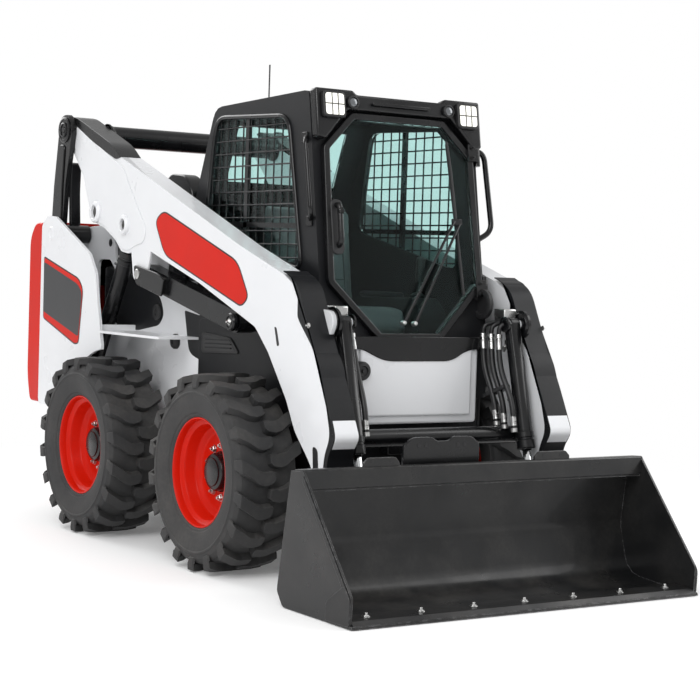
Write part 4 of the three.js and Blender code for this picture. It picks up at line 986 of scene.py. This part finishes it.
# ---------- visor and work lamps ----------
# A pressed black visor; at each corner a square work lamp with six bright cells in a rubber
# bezel, and a small round lamp beside it.
dress("roof_visor", black_enamel, 0.010, segments=3)
lamp_light = finish("lamp_light", "tinted_glass", (0.8, 0.8, 0.74), 0.25)
lamp_body = next(n for n in lamp_light.node_tree.nodes if n.type == "BSDF_PRINCIPLED")
lamp_body.inputs["Emission Color"].default_value = (1.0, 0.98, 0.90, 1)
lamp_body.inputs["Emission Strength"].default_value = 0.55
lamp_glass = finish("lamp_glass", "tinted_glass", (0.16, 0.17, 0.18), 0.1, metal=0.6, coat=0.8)


def front_plate(points, near, far):
    """A plate cut to an outline drawn on the cab's sloped front."""
    return slab_mesh(points, lambda p, out: front(p.x, p.y, out), near, far)


def square(across, up, half_width, half_height, corner):
    """A rounded rectangle on the cab's sloped front."""
    return [(across - half_width, up - half_height, corner),
            (across + half_width, up - half_height, corner),
            (across + half_width, up + half_height, corner),
            (across - half_width, up + half_height, corner)]


VISOR_FACE = 0.060
LENS_HALF = 0.046
LENS_FACE = VISOR_FACE + 0.0145
for hand, side in SIDES:
    across, up = side * 0.352, 1.030
    joined(f"{hand}_lamp_bezel",
           [front_plate(square(across, up, 0.056, 0.056, 0.018), VISOR_FACE - 0.012,
                        VISOR_FACE + 0.012)], "chassis", moulded_rubber, 0.005)
    joined(f"{hand}_lamp_lens",
           [front_plate(square(across, up, LENS_HALF, LENS_HALF, 0.014), VISOR_FACE + 0.01,
                        LENS_FACE)], "chassis", lamp_light, 0.002)
    joined(f"{hand}_lamp_cells",
           [tube_mesh([front(across + dx, up - LENS_HALF, LENS_FACE),
                       front(across + dx, up + LENS_HALF, LENS_FACE)], 0.0026, sides=6)
            for dx in (-0.015, 0.015)]
           + [tube_mesh([front(across - LENS_HALF, up, LENS_FACE),
                         front(across + LENS_HALF, up, LENS_FACE)], 0.0026, sides=6)], "chassis",
           cast_metal)
    turned(f"{hand}_round_lamp", front(side * 0.252, 1.046, VISOR_FACE - 0.006), OUTWARD,
           [(0.028, 0), (0.028, 0.012), (0.022, 0.016), (0.02, 0.01), (0, 0.009)], "chassis",
           moulded_rubber)
    turned(f"{hand}_round_lens", front(side * 0.252, 1.046, VISOR_FACE + 0.003), OUTWARD,
           [(0.0195, 0), (0.0195, 0.002), (0.012, 0.006), (0, 0.007)], "chassis", lamp_glass, 24)
joined("visor_rib",
       [block_mesh(front(0, 1.047, VISOR_FACE + 0.002), (0.3, 0.014, 0.008), LEFT, UPWARD)],
       "chassis", black_enamel, 0.003, slot_name="charcoal_paint")

# ---------- door, handle, hinges and wiper ----------
# A black framed door with an octagonal pane, hung on two hinges at its left edge; a moulded
# handle at its right and a wiper with two parallel arms on the glass.
dress("door_frame", black_enamel, 0.011, segments=4)
dress("door_glass", window_glass, 0.0)
GLASS_FACE = 0.024
joined("door_handle_base",
       [front_plate(square(-0.349, 0.512, 0.03, 0.118, 0.028), GLASS_FACE - 0.001,
                    GLASS_FACE + 0.014)], "cab_door", moulded_rubber, 0.005)
joined("door_handle",
       [tube_mesh([front(-0.349, 0.605, 0.03), front(-0.349, 0.6, 0.062),
                   front(-0.349, 0.445, 0.062), front(-0.349, 0.43, 0.03)], 0.0125, 0.02,
                  sides=16)], "cab_door", black_enamel, slot_name="black_plastic")
turned("door_lock", front(-0.349, 0.575, 0.068), OUTWARD,
       [(0.014, 0), (0.014, 0.008), (0.01, 0.012), (0, 0.012)], "cab_door", black_enamel, 24,
       slot_name="black_plastic")
for label, up in (("upper", 0.872), ("lower", 0.265)):
    joined(f"{label}_hinge_leaf",
           [block_mesh(front(0.386, up, 0.04), (0.052, 0.075, 0.014), LEFT, UPWARD)]
           + [nut_mesh(front(0.38, up + step, 0.047), OUTWARD, 0.008, 0.006)
              for step in (-0.022, 0.022)], "cab_door", black_enamel, 0.002)
    joined(f"{label}_hinge_mount",
           [tube_mesh([front(0.424, up - 0.055, 0.02), front(0.424, up + 0.055, 0.02)], 0.014,
                      sides=20),
            block_mesh(front(0.433, up, 0.01), (0.02, 0.09, 0.02), LEFT, UPWARD)], "chassis",
           black_enamel, 0.001)
WIPER = [((-0.038, 0.108), (0.256, 0.560)), ((0.020, 0.106), (0.284, 0.548))]
joined("wiper_arms",
       [tube_mesh([front(*low, GLASS_FACE + 0.018), front(*high, GLASS_FACE + 0.026)], 0.0065,
                  sides=10) for low, high in WIPER]
       + [block_mesh(front(0.27, 0.556, GLASS_FACE + 0.024), (0.05, 0.026, 0.014), LEFT, UPWARD)],
       "cab_door", black_enamel, 0.002)
joined("wiper_blade",
       [tube_mesh([front(0.25, 0.915, GLASS_FACE + 0.01), front(0.262, 0.8, GLASS_FACE + 0.013),
                   front(0.283, 0.4, GLASS_FACE + 0.013), front(0.295, 0.235, GLASS_FACE + 0.01)],
                  0.006, 0.1, sides=10),
        tube_mesh([front(0.25, 0.905, GLASS_FACE + 0.004), front(0.294, 0.24, GLASS_FACE + 0.004)],
                  0.0035, sides=8)], "cab_door", moulded_rubber)
for label, (low, _) in zip(("outer", "inner"), WIPER):
    turned(f"wiper_{label}_pivot", front(*low, GLASS_FACE), OUTWARD,
           [(0.011, 0), (0.011, 0.016), (0.009, 0.023), (0.005, 0.026), (0, 0.026)], "cab_door",
           plated_steel, 24)

# ---------- grab handles ----------
# Bent steel tube, painted black and bolted to the cab's front corners.
joined("left_grab_handle",
       [tube_mesh([at(0.228, CAB_SIDE - 0.004, 1.86), at(0.245, 0.49, 1.85), at(0.292, 0.515, 1.5),
                   at(0.286, CAB_SIDE - 0.004, 1.452)], 0.0125, 0.045, sides=14)], "chassis",
       black_enamel)
joined("right_grab_handle",
       [tube_mesh([at(0.205, -CAB_SIDE + 0.004, 1.862), at(0.255, -0.462, 1.85),
                   at(0.312, -0.462, 1.54), at(0.262, -CAB_SIDE + 0.004, 1.508)], 0.0105, 0.03,
                  sides=14)], "chassis", black_enamel)
for hand, side, feet in (("left", 1, ((0.228, 1.860), (0.286, 1.452))),
                         ("right", -1, ((0.205, 1.862), (0.262, 1.508)))):
    joined(f"{hand}_handle_feet",
           [block_mesh(at(x, side * (CAB_SIDE + 0.003), z), (0.044, 0.044, 0.01), FORWARD, UP)
            for x, z in feet], "chassis", black_enamel, 0.003)

# ---------- front panel and the gear below it ----------
# A formed white steel panel under the door, a black sill dipping over its top edge, a rubber
# stop at its right, the valve block in the shadow below and the black quick coupler.


def face_slab(points, x_a, x_b):
    """A front-view outline carried between two distances ahead of the front axle."""
    return slab_mesh(points, lambda p, x: at(x, p.x, p.y), x_a, x_b)


front_cover = face_slab([(-0.296, 0.655, 0.02), (0.362, 0.655, 0.02), (0.362, 0.982, 0.02),
                         (-0.296, 0.982, 0.02)], 0.4, 0.424)
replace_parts(soften(piece("front_panel_skin", front_cover, "chassis", white_enamel), 0.012,
                   segments=4), "front_panel")
panel_face = face_slab([(-0.27, 0.69, 0.015), (0.318, 0.69, 0.015), (0.318, 0.99, 0.015),
                        (-0.27, 0.99, 0.015)], 0.42, 0.438)
soften(piece("front_panel_face", panel_face, "chassis", white_enamel), 0.009, segments=4)
sill_dip = face_slab([(-0.33, 1.03), (-0.33, 0.985, 0.01), (-0.262, 0.975, 0.05),
                      (-0.15, 0.925, 0.05), (0.205, 0.925, 0.05), (0.285, 0.972, 0.05),
                      (0.372, 0.98, 0.01), (0.372, 1.03)], 0.396, 0.443)
soften(piece("door_sill", sill_dip, "chassis", black_enamel, slot_name="charcoal_paint"), 0.003)
turned("panel_stop", at(0.425, -0.265, 0.885), FORWARD,
       [(0.04, 0), (0.04, 0.026), (0.034, 0.034), (0.022, 0.036), (0.018, 0.03), (0.008, 0.029),
        (0.007, 0.036), (0, 0.036)], "chassis", moulded_rubber, 32)
joined("valve_block", [block_mesh(at(0.385, 0.08, 0.56), (0.07, 0.36, 0.075)),
                       block_mesh(at(0.395, 0.08, 0.47), (0.05, 0.44, 0.03))], "chassis",
       black_enamel, 0.005)
dress("quick_coupler", black_enamel, 0.003)

# ---------- hoses and fittings beside the tilt cylinders ----------
# Two-wire hydraulic hoses run down inside each arm leg, clipped at the top and at the cross
# tube, with crimped ferrules and plated elbows; a clevis block holds each cylinder's top pin.
hose_rubber = finish("hose_rubber", "black_plastic", (0.008, 0.008, 0.009), 0.42, scale=700,
                     bump=0.12)
LEG_HOSE_Y = 0.372
HOSE_RADIUS = 0.0125
HOSE_TAIL_RADIUS = 0.010
for hand, side in SIDES:
    joined(f"{hand}_clevis_block",
           [block_mesh(at(0.505, side * 0.44, 1.128), (0.075, 0.066, 0.062))], "lift_arms",
           plated_steel, 0.006, slot_name="cast_metal")
    hoses, crimps = [], []
    inner = side * LEG_HOSE_Y
    for k, (top_x, low_x, low_z) in enumerate(((0.440, 0.560, 0.660), (0.490, 0.610, 0.650),
                                               (0.535, 0.668, 0.640))):
        y = inner + side * 0.006 * k
        drop = [at(top_x, y, 1.040), at(top_x + 0.030, y - side * 0.010, 0.900),
                at(low_x - 0.020, y, 0.760), at(low_x, y, low_z)]
        hoses.append(tube_mesh(drop, HOSE_RADIUS, 0.06, sides=14))
        hoses.append(tube_mesh([at(top_x, y, 1.040), at(top_x + 0.004, y, 1.085),
                                at(top_x + 0.020, side * 0.425, 1.100)], HOSE_TAIL_RADIUS,
                               0.03, sides=12))
        for start, toward in ((drop[0] + Vector((0, 0, 0.006)), drop[1] - drop[0]),
                              (drop[3] + Vector((0, 0, -0.006)), drop[2] - drop[3])):
            crimps.append((start, toward))
    joined(f"{hand}_leg_hoses", hoses, "lift_arms", hose_rubber)
    for k, (start, toward) in enumerate(crimps):
        hose_end(f"{hand}_leg_hose_end_{k}", start, toward, "lift_arms", 1.15)
    joined(f"{hand}_hose_clamp",
           [block_mesh(at(0.535, side * 0.382, 0.8), (0.15, 0.04, 0.02), Vector((1, 0, 0.35)))],
           "lift_arms", black_enamel, 0.003)
FEED_Y = 0.481
FEED_RADIUS = 0.010
for hand, side in SIDES:
    feeds = []
    for k in range(3):
        y = side * FEED_Y
        top = at(-1.545 - 0.030 * k, y, 1.600 - 0.016 * k)
        feeds.append(tube_mesh([top, at(-1.535 - 0.030 * k, y, 1.530),
                                at(-1.440, y, 1.520 - 0.022 * k)], FEED_RADIUS, 0.05,
                               sides=12))
        hose_end(f"{hand}_rear_feed_end_{k}", top, Vector((-0.2, 0, 1)), "lift_arms", 1.0)
    joined(f"{hand}_rear_feeds", feeds, "lift_arms", hose_rubber)
turned("left_arm_tube_end", at(0.4, 0.4035, 1.175), Vector((0, -1, 0)),
       [(0.066, 0), (0.066, 0.018), (0.058, 0.022), (0.046, 0.022), (0.042, 0.01), (0, 0.008)],
       "lift_arms", moulded_rubber, 48)

# ---------- bucket ----------
# A welded steel bucket in satin black: a folded lip band with hitch lugs, thick side plates
# with wear strips, and a bolt-on cutting edge; its floor is scuffed by the load.
bucket_steel = finish("bucket_steel", "graphite_steel", (0.0105, 0.0108, 0.0115), 0.36, metal=0.0,
                      spread=0.1, shade=0.72, scale=90, bump=0.1, dirt=0.14, wear=0.6, coat=0.1,
                      shine=0.35)
edge_steel = finish("edge_steel", "graphite_steel", (0.03, 0.03, 0.031), 0.34, metal=0.6,
                    spread=0.1, shade=0.75, scale=260, bump=0.08, dirt=0.12, wear=0.5)
dress("bucket", bucket_steel, 0.005, segments=3)
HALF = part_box("bucket")[1].y


joined("cutting_edge",
       [side_slab([(1.19, 0.022), (1.196, 0.032), (1.296, 0.03), (1.323, 0.01), (1.3, 0.012)],
                  -HALF + 0.0115, HALF - 0.0115)], "bucket", edge_steel, 0.002)
EDGE_BOLT_Y = [-0.750 + 0.250 * k for k in range(7)]
joined("edge_bolts", [nut_mesh(at(1.243, y, 0.03), UP, 0.014, 0.008) for y in EDGE_BOLT_Y],
       "bucket", plated_steel, 0.001, slot_name="graphite_steel")
joined("lip_band", [side_slab([(0.895, 0.543), (0.954, 0.547), (0.961, 0.542), (0.961, 0.47),
                               (0.955, 0.468), (0.954, 0.54), (0.895, 0.537)], -HALF + 0.002,
                              HALF - 0.002)], "bucket", bucket_steel, 0.002)
for hand, side in SIDES:
    centre = side * 0.4975 if side < 0 else 0.364
    half = 0.085 if side < 0 else 0.093
    lug = face_slab([(centre - half, 0.535), (centre - half, 0.562, 0.006),
                     (centre - half + 0.022, 0.582, 0.006), (centre + half - 0.022, 0.582, 0.006),
                     (centre + half, 0.562, 0.006), (centre + half, 0.535)], 0.938, 0.95)
    soften(piece(f"{hand}_lip_lug", lug, "bucket", bucket_steel), 0.002)
    # Thin black discs on each lug: painted shade standing for its two holes.
    joined(f"{hand}_lug_holes_painted_shade",
           [tube_mesh([at(0.9495, centre + step, 0.566), at(0.9508, centre + step, 0.566)], 0.008,
                      sides=16) for step in (-0.045, 0.045)], "bucket", print_black_and_painted_shade)
    joined(f"{hand}_side_wear",
           [side_slab([(1.308, 0.012, 0.01), (1.312, 0.108, 0.02), (1.27, 0.16, 0.02),
                       (1.15, 0.08, 0.02), (1.15, 0.01, 0.01)], side * (HALF - 0.001),
                      side * (HALF + 0.006)),
            side_slab([(0.962, 0.528, 0.01), (1.3, 0.118, 0.01), (1.284, 0.108, 0.01),
                       (0.958, 0.504, 0.01)], side * (HALF - 0.001), side * (HALF + 0.004))],
           "bucket", edge_steel, 0.002)
centre_plate = face_slab([(-0.33, 0.5), (-0.33, 0.612, 0.008), (-0.285, 0.645, 0.02),
                          (-0.19, 0.645, 0.01), (-0.165, 0.628, 0.01), (-0.105, 0.628, 0.01),
                          (-0.08, 0.645, 0.01), (0.01, 0.645, 0.02), (0.05, 0.612, 0.008),
                          (0.05, 0.5)], 0.842, 0.858)
soften(piece("coupler_crest", centre_plate, "bucket", black_enamel), 0.002)
# Thin black discs on the crest: painted shade standing for its four holes.
joined("crest_holes_painted_shade", [tube_mesh([at(0.8575, y, 0.612), at(0.859, y, 0.612)], 0.009, sides=16)
                       for y in (-0.255, -0.22, -0.06, -0.025)], "bucket", print_black_and_painted_shade)

# ---------- tailgate and rear lamps ----------
# A pressed steel door sprayed red-orange with side skirts, a louvred vent, a black grille, two
# lamp clusters and a paddle latch; it swings on pins at its left edge.
dress("tailgate", red_enamel, 0.009, segments=3)
TAIL_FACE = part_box("tailgate")[0].x
SKIRT = [(-1.992, 0.566, 0.01), (-2.105, 0.566, 0.03), (-2.146, 0.700, 0.06),
         (-2.146, 1.418, 0.07), (-2.080, 1.500, 0.06), (-1.992, 1.500, 0.01)]
side_plate("right_tail_skirt", SKIRT, -0.6, -0.66, "tailgate", red_enamel, 0.008)
TAIL_LOUVRES = [Vector((TAIL_FACE - 0.003, 0.0, 0.78 + 0.034 * k)) for k in range(13)]
joined("tail_louvres", [block_mesh(place, (0.76, 0.024, 0.006), LEFT, Vector((0.35, 0, 1)))
                        for place in TAIL_LOUVRES], "tailgate", black_enamel, 0.001)
joined("tail_vent_frame",
       [tube_mesh([Vector((TAIL_FACE, y, z)) for y,
                   z in ((-0.4, 0.755), (0.4, 0.755), (0.4, 1.215), (-0.4, 1.215))], 0.009, 0.03,
                  closed=True, sides=12)], "tailgate", black_enamel)
TAIL_LAMP_Y, TAIL_LAMP_Z = 0.515, 1.130
lamp_red = finish("lamp_red", "red_paint", (0.42, 0.006, 0.006), 0.12, coat=0.8)
for hand, side in SIDES:
    joined(f"{hand}_tail_lamp",
           [block_mesh(Vector((TAIL_FACE - 0.002, side * TAIL_LAMP_Y, TAIL_LAMP_Z)),
                       (0.08, 0.15, 0.022), LEFT, UP)], "tailgate", moulded_rubber, 0.008)
    for step, material in ((0.035, lamp_red), (-0.035, lamp_glass)):
        joined(f"{hand}_tail_lens_{('red' if step > 0 else 'clear')}",
               [block_mesh(Vector((TAIL_FACE - 0.013, side * TAIL_LAMP_Y, TAIL_LAMP_Z + step)),
                           (0.062, 0.058, 0.008), LEFT, UP)], "tailgate", material, 0.003)
joined("tail_latch",
       [block_mesh(Vector((TAIL_FACE - 0.002, -0.47, 0.88)), (0.09, 0.13, 0.016), LEFT, UP),
        block_mesh(Vector((TAIL_FACE - 0.012, -0.47, 0.89)), (0.06, 0.08, 0.01), LEFT, UP)],
       "tailgate", black_enamel, 0.003)

# ---------- cab interior ----------
# A black moulded seat stand with a console each side, an armrest pad and a joystick on each
# console, and a small display on the right post.
dress("seat_base", moulded_rubber, 0.010, segments=3)
STICK_Y = 0.312
for hand, side in SIDES:
    joined(f"{hand}_joystick",
           [tube_mesh([at(0.02, side * STICK_Y, 1.18), at(0.03, side * STICK_Y, 1.275)], 0.01,
                      sides=12),
            tube_mesh([at(0.03, side * STICK_Y, 1.262), at(0.044, side * 0.308, 1.372)], 0.021,
                      sides=16)], "chassis", moulded_rubber, 0.004)
    turned(f"{hand}_joystick_boot", at(0.02, side * STICK_Y, 1.176), Vector((0.1, 0, 1)),
           [(0.046, 0), (0.04, 0.012), (0.032, 0.016), (0.034, 0.026), (0.022, 0.034),
            (0.01, 0.04)], "chassis", moulded_rubber, 32)
    joined(f"{hand}_armrest", [block_mesh(at(-0.24, side * 0.29, 1.196), (0.28, 0.07, 0.03))],
           "chassis", moulded_rubber, 0.012)
joined("display_box",
       [block_mesh(at(0.17, -0.352, 1.56), (0.03, 0.1, 0.15), Vector((-0.9, 0.45, 0)),
                   Vector((0.45, 0.9, 0)))], "chassis", moulded_rubber, 0.008)

# ---------- seat ----------
# Foam cushions in dark grey vinyl, crowned by their filling and sewn with welted seams; the
# bolsters stand at the sides of the back.
seat_vinyl = finish("seat_vinyl", "seat_vinyl", (0.115, 0.118, 0.122), 0.46, spread=0.06,
                    shade=0.85, scale=900, bump=0.1, dirt=0.03)


FILLING_FRAMES = 20
FILLING_PRESSURE = 4.0
COVER_INSET = 0.010


def current_mesh(made):
    """An object's mesh as its modifiers leave it."""
    return bpy.data.meshes.new_from_object(
        made.evaluated_get(bpy.context.evaluated_depsgraph_get()))


def crowned(node, resting, cap=0.013, voxel=0.010):
    """A cushion blown up from its plain shape; the vertices that rest on something stay."""
    mesh = frame["nodes"][node].data.copy()
    mesh.transform(frame["nodes"][node].matrix_world)
    low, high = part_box(node)
    centre, half = (low + high) / 2, (high - low) / 2
    for vertex in mesh.vertices:
        away = vertex.co - centre
        vertex.co = centre + Vector([away[i] * (1 - COVER_INSET / half[i]) for i in range(3)])
    pad = bpy.data.objects.new(node + "_filling", mesh)
    scene = bpy.context.scene
    scene.collection.objects.link(pad)
    shape = pad.modifiers.new("voxels", "REMESH")
    shape.mode = "VOXEL"
    shape.voxel_size = voxel
    pad.data = current_mesh(pad)
    pad.modifiers.clear()
    start = [vertex.co.copy() for vertex in pad.data.vertices]
    held = pad.vertex_groups.new(name="held")
    held.add([i for i, co in enumerate(start) if resting(co)], 1.0, "ADD")
    cloth = pad.modifiers.new("filling", "CLOTH")
    cloth.settings.use_pressure = True
    cloth.settings.uniform_pressure_force = FILLING_PRESSURE
    cloth.settings.effector_weights.gravity = 0.0
    cloth.settings.vertex_group_mass = "held"
    cloth.point_cache.frame_start = 1
    cloth.point_cache.frame_end = FILLING_FRAMES
    for step in range(1, FILLING_FRAMES + 1):
        scene.frame_set(step)
    blown = current_mesh(pad)
    pad.modifiers.clear()
    pad.data = blown
    for vertex, co in zip(blown.vertices, start):
        move = vertex.co - co
        if move.length > cap:
            vertex.co = co + move.normalized() * cap
    scene.frame_set(1)
    finer = pad.modifiers.new("finer", "SUBSURF")
    finer.levels = 1
    result = current_mesh(pad)
    bpy.data.objects.remove(pad)
    for face in result.polygons:
        face.use_smooth = True
    return result


def seam(mesh, points, direction, thickness=0.0032):
    """A welted seam laid on a cushion below a line of points."""
    tree = BVHTree.FromPolygons([v.co for v in mesh.vertices],
                                [tuple(p.vertices) for p in mesh.polygons])
    path = bent(points, 0.05)
    fine = [a.lerp(b, k / 6) for a, b in zip(path, path[1:]) for k in range(6)] + [path[-1]]
    hits = [tree.ray_cast(p, direction)[0] for p in fine]
    return tube_mesh([hit for hit in hits if hit is not None], thickness, 0.0, sides=6)


SEAT_LOW, SEAT_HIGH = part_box("seat_cushion")
BACK_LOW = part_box("seat_back")[0]
seat_mesh = crowned("seat_cushion", lambda co: co.z < SEAT_LOW.z + 0.018)
back_mesh = crowned("seat_back", lambda co: co.z < BACK_LOW.z + 0.020)
seat_pad = piece("seat_cushion_pad", seat_mesh, "chassis", seat_vinyl)
back_pad = piece("seat_back_pad", back_mesh, "chassis", seat_vinyl)
for pad, node in ((seat_pad, "seat_cushion"), (back_pad, "seat_back")):
    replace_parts(pad, node)
DOWN, BACKWARD = Vector((0, 0, -1)), Vector((-1, 0, 0))
joined("seat_seams", [seam(seat_mesh,
                           [Vector((x, y, 1.3)) for x,
                            y in ((SEAT_LOW.x + 0.03, s * 0.155), (SEAT_HIGH.x - 0.1, s * 0.145))],
                           DOWN) for s in (-1, 1)]
       + [seam(seat_mesh, [Vector((SEAT_HIGH.x - 0.1, y, 1.3)) for y in (-0.205, 0.205)], DOWN)],
       "chassis", moulded_rubber, slot_name="seat_vinyl")
joined("back_seams", [seam(back_mesh,
                           [Vector((0.4, s * 0.15, 1.165)), Vector((0.4, s * 0.15, 1.42)),
                            Vector((0.4, s * 0.11, 1.575))], BACKWARD) for s in (-1, 1)]
       + [seam(back_mesh, [Vector((0.4, y, z)) for y in (-0.15, 0.15)], BACKWARD)
          for z in (1.26, 1.405)], "chassis", moulded_rubber, slot_name="seat_vinyl")
